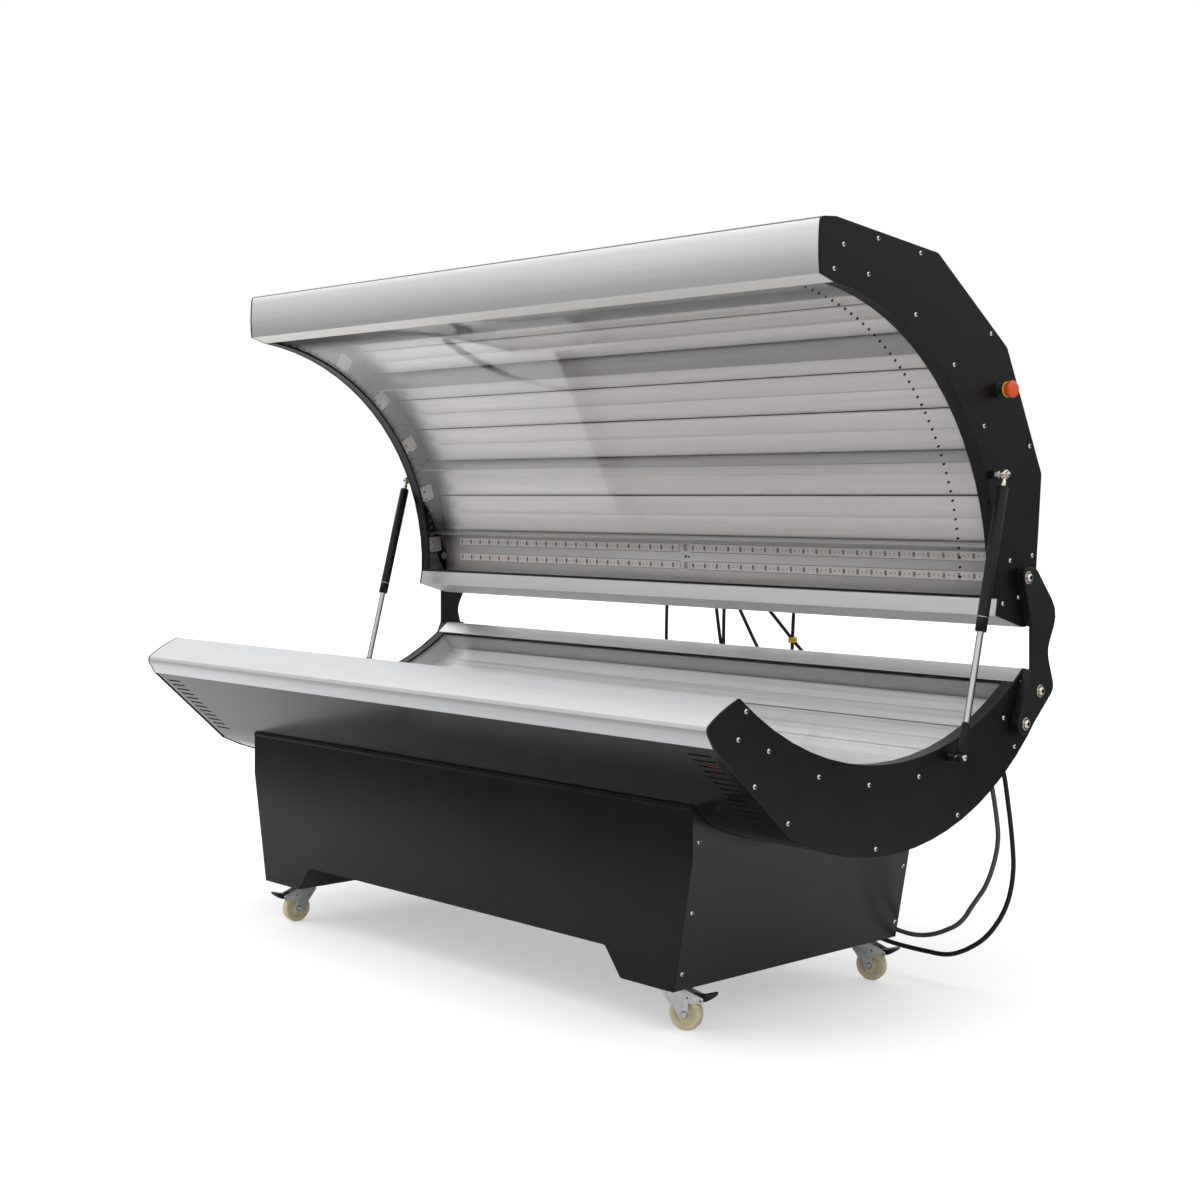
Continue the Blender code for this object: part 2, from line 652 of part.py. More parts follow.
def make_bed_ends():
    """End plates of the bed, with their rims and the holes for the hinge studs."""
    holes = [circle(stud, STUD_SHANK + BOLT_CLEARANCE) for stud in ARM_STUDS]
    for side, mirrored in sides():
        outlines = [bed_end_outline()] + holes
        plate = push_at_end(f"bed_end_{side}", outlines, HALF - END_PLATE, HALF, "black", mirrored)
        inner = rim(f"bed_rim_{side}", TROUGH_CENTRE, TROUGH_RADIUS, TROUGH_FROM, TROUGH_TO, mirrored)
        combine(baked(plate), [inner], "UNION")


def make_bed_rails():
    """The two silver rails of the bed."""
    pushed("bed_front_rail", [front_rail_outline()], -INNER, INNER, "silver")
    pushed("bed_rear_rail", [rear_rail_outline()], -INNER, INNER, "silver")


def make_bed_surface():
    """The clear lying surface and the LED tray under it."""
    near = TROUGH_RADIUS + RIM_SETBACK + RIM_THICKNESS + GAP
    sheet = ring_sector(TROUGH_CENTRE, near, near + ACRYLIC, TROUGH_FROM, TROUGH_TO)
    pushed("bed_acrylic", [sheet], -INNER, INNER, "clear")
    floor = near + ACRYLIC + BED_BOARD_SPACE
    under_rail = TROUGH_CENTRE[1] - REAR_RAIL_LOW[1] + GAP
    wall = floor + under_rail / math.sin(math.radians(BED_TRAY_TO))
    folds = spread(BED_TRAY_FROM, BED_TRAY_TO, BED_BOARDS)
    tray = folded_ring(TROUGH_CENTRE, floor, folds, wall, wall)
    half = INNER - STUD_STRIP_THICKNESS - GAP
    pushed("bed_led_tray", [tray], -half, half, "board")


def slope_box(name, x, along, size_x, size_along):
    """A cutter through the front slope."""
    bpy.ops.mesh.primitive_cube_add(size=1.0)
    box = bpy.context.active_object
    box.name = name
    for group in box.users_collection:
        group.objects.unlink(box)
    centre = Vector(RAIL_LOWER_EDGE) + SLOPE_WAY * along
    box.dimensions = (size_x, size_along, 8 * SHEET)
    box.rotation_euler = (math.atan2(SLOPE_WAY.y, SLOPE_WAY.x), 0.0, 0.0)
    box.location = (x, centre.x, centre.y)
    return place(box, "black", CUTTERS)


def gland(name, point, way, look):
    """A short round gland standing out of a panel, sunk a little into it."""
    radius, length = GLAND
    tip, shoulder = GLAND_TAPER
    profile = [(0, length), (radius * tip, length), (radius, length * shoulder), (radius, -SHEET / 2),
               (0, -SHEET / 2)]
    made = turned(name, profile, look, CUTTERS)
    made.location = point
    made.rotation_euler = Vector((0, 0, 1)).rotation_difference(Vector(way)).to_euler()
    return made


def belly_exit(number):
    """Where a cord leaves the belly: the point on its skin and the way out."""
    x, y = CORD_EXITS[number]
    out = Vector((0, y - BELLY_CENTRE[0], belly_z(y) - BELLY_CENTRE[1])).normalized()
    return Vector((x, y, belly_z(y))) - out * SKIN_INSET, out


def make_under_panel():
    """The folded skin under the bed, with vent slots near both ends and two cord glands."""
    path = underside(GAP, REAR_RAIL_LOW[1] - GAP)
    panel = baked(pushed("bed_under_panel", [strip(path, SKIN_INSET, SKIN_INSET + SHEET)], -INNER, INNER,
                         "gloss_black"))
    slots = []
    for side, mirrored in sides():
        x = INNER - VENT_INSET - VENT_LENGTH / 2
        for i in range(VENT_COUNT):
            slots.append(slope_box(f"vent_{side}_{i}", -x if mirrored else x, VENT_START + i * VENT_PITCH,
                                   VENT_LENGTH, VENT_HEIGHT))
    panel = combine(panel, slots, "DIFFERENCE")
    glands = [gland(f"belly_gland_{i}", *belly_exit(i), "black") for i in range(len(CORD_EXITS))]
    combine(panel, glands, "UNION")


# The base

def belly_cutter(name):
    """Everything above the skin of the belly, less a gap."""
    path = offset_path(underside(), SKIN_INSET - GAP)
    high = [(path[-1][0], TROUGH_CENTRE[1]), (path[0][0], TROUGH_CENTRE[1])]
    return baked(pushed(name, [path + high], -HALF, HALF, "black", "x", CUTTERS))


def base_face_outline():
    """The front or rear panel of the base, with the notch between the feet."""
    notch_top = BASE_BOTTOM + NOTCH_HEIGHT
    half = [(NOTCH_TOP_HALF, notch_top, NOTCH_ROUND), (NOTCH_BOTTOM_HALF, BASE_BOTTOM, NOTCH_ROUND),
            (BASE_BOTTOM_HALF, BASE_BOTTOM, 0), (BASE_TOP_HALF, BASE_FOLD_Z, 0),
            (BASE_TOP_HALF, BASE_BLANK_Z, 0)]
    return rounded(half + [(-x, z, radius) for x, z, radius in reversed(half)])


def make_base():
    """The folded panels of the base, its floor tray and the power supply."""
    cutter = belly_cutter("belly_space")
    front_in = BASE_FRONT_Y + SHEET
    rear_in = BASE_REAR_Y - SHEET
    face = [base_face_outline()]
    front = baked(pushed("base_front_panel", face, BASE_FRONT_Y, front_in, "gloss_black", "y"))
    combine(front, [cutter], "DIFFERENCE")
    rear = baked(pushed("base_rear_panel", face, rear_in, BASE_REAR_Y, "black", "y"))
    entries = [gland(f"base_gland_{i}", (x, BASE_REAR_Y, z), (0, 1, 0), "black")
               for i, (x, z) in enumerate(CORD_ENTRIES)]
    rear = combine(rear, entries, "UNION")
    combine(rear, [cutter], "DIFFERENCE")
    side_path = [(BASE_BOTTOM_HALF, BASE_BOTTOM), (BASE_TOP_HALF, BASE_FOLD_Z), (BASE_TOP_HALF, BASE_BLANK_Z)]
    for side, mirrored in sides():
        outline = strip(side_path, 0.0, SHEET)
        if mirrored:
            outline = [(-x, z) for x, z in outline]
        end = pushed(f"base_end_{side}", [outline], front_in + GAP, rear_in - GAP, "black", "y")
        combine(baked(end), [cutter], "DIFFERENCE")
    hide(cutter)
    lean = (BASE_TOP_HALF - BASE_BOTTOM_HALF) / (BASE_FOLD_Z - BASE_BOTTOM)
    foot_end = BASE_BOTTOM_HALF - SHEET * math.hypot(1, lean) - GAP
    half = [(foot_end, BASE_BOTTOM), (NOTCH_BOTTOM_HALF, BASE_BOTTOM),
            (NOTCH_TOP_HALF, BASE_BOTTOM + NOTCH_HEIGHT)]
    floor_path = half + [(-x, z) for x, z in reversed(half)]
    pushed("base_floor", [strip(floor_path, 0.0, -SHEET)], front_in + GAP, rear_in - GAP, "black", "y")
    make_power_supply(BASE_BOTTOM + NOTCH_HEIGHT + SHEET + GAP)


def make_power_supply(floor_z):
    """The power supply box inside the base."""
    x, y, z = SUPPLY_SIZE
    outline = rounded_box(0.0, 0.0, x, y, SUPPLY_ROUND)
    pushed("power_supply", [outline], floor_z, floor_z + z, "zinc", "z")


# The canopy

def make_canopy_ends():
    """End plates of the canopy, with their rims and the holes for the pivots."""
    hole = circle(PIVOT, PIVOT_SHANK + BOLT_CLEARANCE)
    for side, mirrored in sides():
        outlines = [canopy_end_outline(), hole]
        plate = push_at_end(f"canopy_end_{side}", outlines, HALF - END_PLATE, HALF, "black", mirrored)
        inner = rim(f"canopy_rim_{side}", CANOPY_CENTRE, CANOPY_RADIUS, CANOPY_FROM, CANOPY_TO, mirrored)
        combine(baked(plate), [inner], "UNION")


def make_canopy_shell():
    """Rails, back cover and clear sheet of the canopy."""
    pushed("canopy_front_rail", [canopy_front_rail_outline()], -INNER, INNER, "silver")
    pushed("canopy_rear_rail", [canopy_rear_rail_outline()], -INNER, INNER, "silver")
    cover = strip(back_path(), -SKIN_INSET, -SKIN_INSET - SHEET)
    pushed("canopy_back_cover", [cover], -INNER, INNER, "black")
    near = CANOPY_RADIUS + RIM_SETBACK + RIM_THICKNESS + GAP
    sheet = ring_sector(CANOPY_CENTRE, near, near + ACRYLIC, CANOPY_FROM, CANOPY_TO)
    pushed("canopy_acrylic", [sheet], -INNER, INNER, "clear")


def make_canopy_boards():
    """The groups of LED boards behind the canopy's clear sheet."""
    radius = CANOPY_RADIUS + RIM_SETBACK + RIM_THICKNESS + GAP + ACRYLIC + CANOPY_BOARD_SPACE
    for number, (top, low, boards) in enumerate(CANOPY_GROUPS, 1):
        fin = CANOPY_FIN if number < len(CANOPY_GROUPS) else 0.0
        folds = spread(low + CANOPY_GAP_ANGLE, top - CANOPY_GAP_ANGLE, boards)
        outline = folded_ring(CANOPY_CENTRE, radius, folds, fin)
        pushed(f"canopy_led_board_{number}", [outline], -INNER, INNER, "board")


# Hinges

def bolt_profile(inner_end, shank, seat):
    """A bolt with washer and head outside its seat, down to its inner end."""
    washer_radius, washer = WASHER
    head_radius, head = BOLT_HEAD
    flat, dome = HEAD_DOME
    top = seat + GAP
    under_head = top + washer
    return [(0, under_head + head), (head_radius * flat, under_head + head),
            (head_radius, under_head + head * dome), (head_radius, under_head), (washer_radius, under_head),
            (washer_radius, top), (shank, top), (shank, inner_end)]


def make_hinges():
    """Arms, pivot bolts and stud plates of the two hinges."""
    arm_low = HALF + GAP
    arm_high = arm_low + ARM_THICKNESS
    bores = [circle(PIVOT, PIVOT_SHANK + BOLT_CLEARANCE)]
    bores += [circle(stud, STUD_SHANK + BOLT_CLEARANCE) for stud in ARM_STUDS]
    front = min(corner[0] for corner in ARM_OUTLINE)
    back = max(corner[0] for corner in ARM_OUTLINE)
    low, high = ARM_RELIEF
    free = [(front, low), (back, low), (back, high), (front, high)]
    nut_radius, nut = PIVOT_NUT
    for side, mirrored in sides():
        arm = push_at_end(f"hinge_arm_{side}", [rounded(ARM_OUTLINE)] + bores, arm_low, arm_high,
                          "black", mirrored)
        relief = push_at_end(f"arm_relief_{side}", [free], arm_low - HOLD, arm_low + ARM_RELIEF_DEPTH,
                             "black", mirrored, CUTTERS)
        combine(baked(arm), [baked(relief)], "DIFFERENCE")
        pivot = bolt_profile(INNER, PIVOT_SHANK, arm_high)
        pivot += [(nut_radius, INNER), (nut_radius, INNER - nut), (0, INNER - nut)]
        along_x(turned(f"pivot_bolt_{side}", pivot, "nickel"), 0.0, *PIVOT, mirrored)
        make_stud_plate(side, mirrored, arm_high)


def make_stud_plate(side, mirrored, seat):
    """A strip inside the bed's end plate with the two studs that clamp the hinge arm."""
    high, low = (Vector(stud) for stud in ARM_STUDS)
    lean = math.degrees(math.atan2(high.y - low.y, high.x - low.x))
    outline = arc(high, STUD_STRIP_HALF, lean - 90, lean + 90, 15) + arc(low, STUD_STRIP_HALF, lean + 90,
                                                                        lean + 270, 15)
    back = push_at_end(f"hinge_stud_plate_{side}", [outline], INNER - STUD_STRIP_THICKNESS, INNER, "nickel",
                       mirrored)
    studs = []
    for number, stud in enumerate(ARM_STUDS):
        sunk = INNER - STUD_STRIP_THICKNESS / 2
        profile = bolt_profile(sunk, STUD_SHANK, seat) + [(0, sunk)]
        made = turned(f"hinge_stud_{side}_{number}", profile, "nickel", CUTTERS)
        studs.append(along_x(made, 0.0, *stud, mirrored))
    combine(baked(back), studs, "UNION")


# Gas struts

def strut_place(made, mirrored):
    """Stand a strut piece on the lower pivot, leaning along the strut."""
    made.location = (-STRUT_X if mirrored else STRUT_X, *STRUT_LOW)
    made.rotation_euler = (STRUT_ANGLE - math.pi / 2, 0.0, 0.0)
    return made


def ball_joint(name, radius, width, bore, mirrored, look, z=0.0):
    """A short sleeve across the strut, hollow where the bore isn't 0, as a piece to join."""
    half = width / 2
    if bore:
        profile = [(radius, half), (radius, -half), (bore, -half), (bore, half)]
    else:
        profile = [(0, half), (radius, half), (radius, -half), (0, -half)]
    made = turned(name, profile, look, CUTTERS)
    lean = Matrix.Rotation(STRUT_ANGLE - math.pi / 2, 4, "X")
    at = lean @ Vector((0, 0, z)) + Vector((-STRUT_X if mirrored else STRUT_X, *STRUT_LOW))
    return along_x(made, abs(at.x), at.y, at.z, mirrored)


def make_struts():
    """Studs, rods and cylinders of the two gas struts."""
    radius, length = STRUT_CYLINDER
    eye_radius, eye_width = STRUT_EYE
    socket_radius, socket_length = STRUT_SOCKET
    socket_tip, socket_shoulder = SOCKET_TAPER
    head_radius, head = STRUT_HEAD
    flange_radius, flange = STRUT_FLANGE
    spacer_radius, spacer = STRUT_SPACER
    bore = STRUT_STUD_SHANK + BOLT_CLEARANCE
    top = STRUT_LENGTH - STRUT_NECK
    low = top - length
    rod_top = low + STRUT_ROD_INSERT
    rod_bore = STRUT_ROD_RADIUS + BOLT_CLEARANCE
    face = HALF + GAP
    outer = STRUT_X + eye_width / 2 + GAP
    for side, mirrored in sides():
        stud = [(0, outer + head), (head_radius, outer + head), (head_radius, outer),
                (STRUT_STUD_SHANK, outer), (STRUT_STUD_SHANK, face + flange), (flange_radius, face + flange),
                (flange_radius, face), (0, face)]
        along_x(turned(f"strut_stud_{side}", stud, "nickel"), 0.0, *STRUT_LOW, mirrored)

        rod = [(0, rod_top), (STRUT_ROD_RADIUS, rod_top), (STRUT_ROD_RADIUS, socket_length),
               (socket_radius * socket_tip, socket_length), (socket_radius, socket_length * socket_shoulder),
               (socket_radius, SOCKET_START), (0, SOCKET_START)]
        body = strut_place(turned(f"strut_rod_{side}", rod, "steel"), mirrored)
        sleeve = ball_joint(f"strut_socket_{side}", eye_radius, eye_width, bore, mirrored, "rubber")
        combine(baked(body), [sleeve], "UNION")

        barrel = [(0, STRUT_LENGTH), (STRUT_NECK_RADIUS, STRUT_LENGTH), (STRUT_NECK_RADIUS, top),
                  (radius, top), (radius, low), (rod_bore, low), (rod_bore, low + STRUT_BORE_DEPTH),
                  (0, low + STRUT_BORE_DEPTH)]
        body = strut_place(turned(f"strut_cylinder_{side}", barrel, "rubber"), mirrored)
        eye = ball_joint(f"strut_eye_{side}", eye_radius, eye_width, 0, mirrored, "nickel", STRUT_LENGTH)
        pin = [(0, outer + head), (head_radius, outer + head), (head_radius, face + spacer),
               (spacer_radius, face + spacer), (spacer_radius, face), (0, face)]
        bolt = along_x(turned(f"strut_bolt_{side}", pin, "nickel", CUTTERS), 0.0, *STRUT_HIGH, mirrored)
        combine(baked(body), [eye, bolt], "UNION")


# Emergency stop on the right end of the canopy

def make_emergency_stop():
    """Collar, stem with its ring, and mushroom cap."""
    collar_radius, collar = STOP_COLLAR
    ring_radius, ring = STOP_RING
    cap_radius, cap = STOP_CAP
    bore = STOP_SHAFT + BOLT_CLEARANCE
    face = HALF + GAP
    ring_low = face + collar + STOP_TRAVEL + GAP
    cap_low = ring_low + ring + GAP
    edge, shoulder = STOP_COLLAR_EDGE
    profile = [(collar_radius * edge, face + collar), (collar_radius, face + collar * shoulder),
               (collar_radius, face), (bore, face), (bore, face + collar)]
    along_x(turned("estop_collar", profile, "rubber"), 0.0, *STOP_AXIS, False)
    stem_low = face + STOP_TRAVEL + GAP
    profile = [(0, ring_low + ring), (ring_radius, ring_low + ring), (ring_radius, ring_low),
               (STOP_SHAFT, ring_low), (STOP_SHAFT, stem_low), (0, stem_low)]
    along_x(turned("estop_stem", profile, "yellow"), 0.0, *STOP_AXIS, False)
    profile = [(cap_radius * r, cap_low + cap * z) for r, z in STOP_CAP_PROFILE]
    along_x(turned("estop_cap", profile, "red"), 0.0, *STOP_AXIS, False)


# Casters

def caster_fork_mesh():
    """The swivel fork: crown, two cheeks and the axle, made once for all casters."""
    axle_z = WHEEL_RADIUS
    top = CROWN_LOW + CROWN
    pin_u, pin_z = PEDAL_PIVOT
    arm_end = pin_u + FORK_ARM_HALF
    foot = CASTER_TRAIL + FORK_FOOT_HALF
    foot_z = axle_z - FORK_FOOT_DROP
    outline = rounded([(-CROWN_REACH, top, 0), (CASTER_TRAIL, top, FORK_HEEL_ROUND),
                       (arm_end, pin_z + FORK_ARM_HALF, FORK_ARM_ROUND),
                       (arm_end, pin_z - FORK_ARM_HALF, FORK_ARM_ROUND), (foot, pin_z - FORK_INNER_DROP, 0),
                       (foot, foot_z, FORK_FOOT_ROUND),
                       (CASTER_TRAIL - FORK_FOOT_HALF, foot_z, FORK_FOOT_ROUND),
                       (-CROWN_REACH, CROWN_LOW - FORK_HEEL_DROP, FORK_HEEL_ROUND)])
    inner = CHEEK_SPACE / 2
    near = baked(pushed("fork_near", [outline], -inner - CHEEK, -inner, "zinc", "y", CUTTERS))
    far = baked(pushed("fork_far", [outline], inner, inner + CHEEK, "zinc", "y", CUTTERS))
    half = inner + CHEEK / 2
    crown_outline = [(-CROWN_REACH + HOLD, -half), (CASTER_TRAIL - HOLD, -half), (CASTER_TRAIL - HOLD, half),
                     (-CROWN_REACH + HOLD, half)]
    crown = baked(pushed("fork_crown", [crown_outline], CROWN_LOW, top - HOLD, "zinc", "z", CUTTERS))
    end = inner + CHEEK + AXLE_HEAD
    profile = [(0, end), (AXLE_RADIUS, end), (AXLE_RADIUS, -end), (0, -end)]
    axle = turned("fork_axle", profile, "zinc", CUTTERS, PIN_STEPS)
    axle.rotation_euler = (math.pi / 2, 0.0, 0.0)
    axle.location = (CASTER_TRAIL, 0.0, axle_z)
    fork = combine(crown, [near, far, axle], "UNION")
    fork.data.transform(fork.matrix_world)
    fork.matrix_world = Matrix.Identity(4)
    hide(fork)
    return fork.data


def wheel_mesh():
    """A wheel with its hub and bore, about its own axle along Y."""
    hub = CHEEK_SPACE / 2 - GAP
    half = WHEEL_WIDTH / 2
    bore = AXLE_RADIUS + BOLT_CLEARANCE
    profile = [(WHEEL_HUB_RADIUS, hub), (WHEEL_HUB_RADIUS, half), (WHEEL_RADIUS - WHEEL_SHOULDER, half),
               (WHEEL_RADIUS, half - WHEEL_SHOULDER)]
    profile += [(r, -z) for r, z in reversed(profile)] + [(bore, -hub), (bore, hub)]
    wheel = turned("wheel_pattern", profile, "wheel", CUTTERS, WHEEL_STEPS)
    wheel.rotation_euler = (math.pi / 2, 0.0, 0.0)
    wheel = baked(wheel)
    wheel.data.transform(wheel.matrix_world)
    wheel.matrix_world = Matrix.Identity(4)
    hide(wheel)
    return wheel.data


def pedal_mesh():
    """A brake pedal with its pin, about the pin along Y."""
    half = CHEEK_SPACE / 2 - GAP
    path = [PEDAL_HEEL, PEDAL_BEND, (PEDAL_REACH - PEDAL_PIVOT[0], PEDAL_TIP_UP)]
    tread = path + [(u, z + PEDAL_SHEET) for u, z in reversed(path)]
    plate = baked(pushed("pedal_tread", [tread], HOLD - half, half - HOLD, "rubber", "y", CUTTERS))
    pin = [circle((0, 0), PEDAL_PIN, PIN_STEPS)]
    stem = baked(pushed("pedal_stem", pin, -half, half, "rubber", "y", CUTTERS))
    web = baked(pushed("pedal_web", [PEDAL_WEB], 2 * HOLD - half, half - 2 * HOLD, "rubber", "y", CUTTERS))
    pedal = combine(plate, [web, stem], "UNION")
    pedal.data.transform(pedal.matrix_world)
    pedal.matrix_world = Matrix.Identity(4)
    hide(pedal)
    return pedal.data


def copy_of(name, mesh, matrix, look):
    """A named copy of a pattern's mesh at its place."""
    made = bpy.data.objects.new(name, mesh.copy())
    made.matrix_world = matrix
    return place(made, look)


def make_caster_plate(name, x, y):
    """A caster's top plate with the swivel race under it."""
    size_x, size_y, thick = CASTER_PLATE
    outline = rounded_box(x, y, size_x, size_y, CASTER_PLATE_ROUND)
    plate = baked(pushed(name, [outline], PLATE_LOW, PLATE_LOW + thick, "zinc", "z"))
    radius, height = RACE
    top = height + thick / 2
    foot, shoulder = RACE_TAPER
    profile = [(0, top), (radius, top), (radius, height * shoulder), (radius * foot, 0), (0, 0)]
    race = turned(f"{name}_race", profile, "zinc", CUTTERS)
    race.location = (x, y, RACE_LOW)
    combine(plate, [race], "UNION")


def make_casters():
    """Four swivel casters with brake pedals."""
    fork_pattern, wheel_pattern, pedal_pattern = caster_fork_mesh(), wheel_mesh(), pedal_mesh()
    for corner, turn in CASTER_TURN.items():
        x = -CASTER_X if corner.endswith("left") else CASTER_X
        y = CASTER_FRONT_Y if corner.startswith("front") else CASTER_REAR_Y
        swivel = Matrix.Translation((x, y, 0.0)) @ Matrix.Rotation(math.radians(turn), 4, "Z")
        make_caster_plate(f"caster_plate_{corner}", x, y)
        copy_of(f"caster_fork_{corner}", fork_pattern, swivel, "zinc")
        axle = Matrix.Translation((CASTER_TRAIL, 0.0, WHEEL_RADIUS))
        copy_of(f"caster_wheel_{corner}", wheel_pattern, swivel @ axle, "wheel")
        pin = Matrix.Translation((PEDAL_PIVOT[0], 0.0, PEDAL_PIVOT[1]))
        copy_of(f"caster_pedal_{corner}", pedal_pattern, swivel @ pin, "rubber")


# Cords and cables

def smooth_route(points, step=CORD_POINT_STEP):
    """Points at even steps along a smooth curve through a route, with a straight first and last stretch."""
    route = [Vector(p) for p in points]
    fine = []
    for a, b, c, d in zip(route, route[1:], route[2:], route[3:]):
        for k in range(SPLINE_STEPS):
            t = k / SPLINE_STEPS
            fine.append(0.5 * (2 * b + (c - a) * t + (2 * a - 5 * b + 4 * c - d) * t * t
                               + (3 * b - a - 3 * c + d) * t ** 3))
    fine.append(route[-2])
    lengths = [0.0]
    for a, b in zip(fine, fine[1:]):
        lengths.append(lengths[-1] + (b - a).length)
    count = max(3, round(lengths[-1] / step))
    even, at = [], 0
    for i in range(count + 1):
        goal = lengths[-1] * i / count
        while at < len(fine) - 2 and lengths[at + 1] < goal:
            at += 1
        share = (goal - lengths[at]) / (lengths[at + 1] - lengths[at])
        even.append(fine[at].lerp(fine[at + 1], share))
    return [route[0]] + even + [route[-1]]


def lead(point, way, length):
    """The straight start of a cord, along the way out of what it leaves."""
    return [Vector(point), Vector(point) + Vector(way) * length]


def make_cords():
    """The two cords that hang from the belly and go back into the base."""
    clear = GLAND[1] + GAP
    for number, (name, look) in enumerate((("power_cord", "rubber"), ("lamp_cord", "grey_rubber"))):
        point, out = belly_exit(number)
        x, z = CORD_ENTRIES[number]
        start = lead(point + out * clear, out, CORD_LEAD)
        end = lead((x, BASE_REAR_Y + clear, z), (0, 1, 0), CORD_LEAD)
        tube(name, smooth_route(start + list(CORD_ROUTES[number]) + end[::-1]), CORD_RADIUS, look)


def cable_route(top_x, low_x):
    """A rear cable's points: out of the canopy's back cover, down behind the rails and into the bed's back."""
    rise = (Vector(BACK_LOW) - Vector(TAIL)).normalized()
    out = Vector((rise.y, -rise.x))
    top = Vector(tail_point(CABLE_TOP_Z)) + out * (GAP - SKIN_INSET)
    start = lead((top_x, *top), (0, *out), CABLE_LEAD)
    end = lead((low_x, BED_REAR_Y - SKIN_INSET + GAP, CABLE_LOW_Z), (0, 1, 0), CABLE_LEAD)
    run = [Vector((top_x + (low_x - top_x) * share, y, z)) for share, y, z in CABLE_RUN]
    return smooth_route(start + run + end[::-1], CABLE_POINT_STEP)


def cable(name, ends, where=None):
    """One rear cable, as a plain mesh."""
    return baked(tube(name, cable_route(*ends), CABLE_RADIUS, "rubber", where))


def make_cables():
    """The cables behind the hinge, two of them held by a tie."""
    for number, (ends, *others) in enumerate(CABLES, 1):
        first = cable(f"rear_cable_{number}", ends)
        combine(first, [cable(f"rear_cable_{number}_strand", other, CUTTERS) for other in others], "UNION")
    first = cable("tied_cables", TIED_CABLES[0])
    second = cable("second_tied_cable", TIED_CABLES[1], CUTTERS)
    share, y, z = CABLE_RUN[TIE_POINT]
    x = sum(top_x + (low_x - top_x) * share for top_x, low_x in TIED_CABLES) / len(TIED_CABLES)
    radius, height = TIE
    tie = turned("cable_tie", [(0, height / 2), (radius, height / 2), (radius, -height / 2), (0, -height / 2)],
                 "yellow", CUTTERS)
    tie.location = (x, y, z)
    combine(first, [second, tie], "UNION")


make_base()
make_bed_ends()
make_bed_rails()
make_bed_surface()
make_under_panel()
make_hinges()
make_canopy_ends()
make_canopy_shell()
make_canopy_boards()
make_emergency_stop()
make_struts()
make_casters()
make_cords()
make_cables()
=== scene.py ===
"""Dresses the infrared light therapy bed: finishes, fine detail, cords, studio and camera.

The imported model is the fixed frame. Metres, +Z up, X along the bed, the open front at -Y.
"""
from __future__ import annotations

import json
import logging
import math
from dataclasses import dataclass, replace
from enum import Enum
from functools import lru_cache
from typing import Iterable, Sequence

import bmesh
import bpy
from mathutils import Matrix, Vector

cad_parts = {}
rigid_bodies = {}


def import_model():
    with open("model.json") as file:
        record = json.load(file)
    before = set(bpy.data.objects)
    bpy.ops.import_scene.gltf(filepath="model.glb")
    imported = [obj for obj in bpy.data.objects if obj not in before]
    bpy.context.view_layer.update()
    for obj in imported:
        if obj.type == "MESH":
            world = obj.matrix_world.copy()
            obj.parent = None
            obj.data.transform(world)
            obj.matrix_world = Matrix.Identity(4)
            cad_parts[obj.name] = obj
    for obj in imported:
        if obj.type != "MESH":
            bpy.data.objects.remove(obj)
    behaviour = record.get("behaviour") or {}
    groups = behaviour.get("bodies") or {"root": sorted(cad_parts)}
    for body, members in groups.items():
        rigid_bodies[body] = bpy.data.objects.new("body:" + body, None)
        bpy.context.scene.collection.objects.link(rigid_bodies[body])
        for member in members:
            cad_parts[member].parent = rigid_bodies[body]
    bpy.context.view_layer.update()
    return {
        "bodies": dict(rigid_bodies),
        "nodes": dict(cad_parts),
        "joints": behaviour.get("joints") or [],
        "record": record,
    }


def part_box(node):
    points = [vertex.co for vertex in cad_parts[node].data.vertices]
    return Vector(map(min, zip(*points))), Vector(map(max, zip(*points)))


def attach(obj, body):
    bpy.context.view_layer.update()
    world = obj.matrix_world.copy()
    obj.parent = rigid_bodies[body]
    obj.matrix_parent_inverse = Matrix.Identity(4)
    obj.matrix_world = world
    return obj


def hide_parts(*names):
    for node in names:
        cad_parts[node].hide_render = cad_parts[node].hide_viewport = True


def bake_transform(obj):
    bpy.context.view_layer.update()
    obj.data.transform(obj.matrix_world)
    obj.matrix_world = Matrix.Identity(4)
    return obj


LOG = logging.getLogger("light_therapy_bed")

Flat = tuple[float, float]
Triple = tuple[float, float, float]
Colour = Triple
Tree = bpy.types.NodeTree
Node = bpy.types.Node
Socket = bpy.types.NodeSocket
Piece = bpy.types.Object
MeshPoint = bmesh.types.BMVert

SHARP_ANGLE = math.radians(34.0)
WELD = 0.00001
FLAT_ANGLE = math.radians(0.4)
WHITE = (1.0, 1.0, 1.0, 1.0)


class Side(Enum):
    """The two ends of the bed."""

    LEFT = -1
    RIGHT = 1

    @property
    def word(self) -> str:
        """The end's name in node names."""
        return self.name.lower()


class Body(Enum):
    """The bodies that several pieces ride on."""

    BED = "bed"
    CANOPY = "canopy"
    STOP_STEM = "estop_stem"
    STOP_CAP = "estop_cap"


class Slot(Enum):
    """The record's material slots."""

    BLACK_SHEET = "black_sheet"
    GLOSS_SHEET = "gloss_sheet"
    SILVER_RAIL = "silver_rail"
    CLEAR_SHEET = "clear_sheet"
    LED_BOARD = "led_board"
    SUPPLY_CASE = "supply_case"
    NICKEL = "nickel"
    STRUT_ROD = "strut_rod"
    STRUT_CYLINDER = "strut_cylinder"
    ZINC = "zinc"
    WHEEL = "wheel"
    PEDAL = "pedal"
    BLACK_CORD = "black_cord"
    GREY_CORD = "grey_cord"
    STOP_COLLAR = "stop_collar"
    STOP_YELLOW = "stop_yellow"
    STOP_RED = "stop_red"


# Finishes

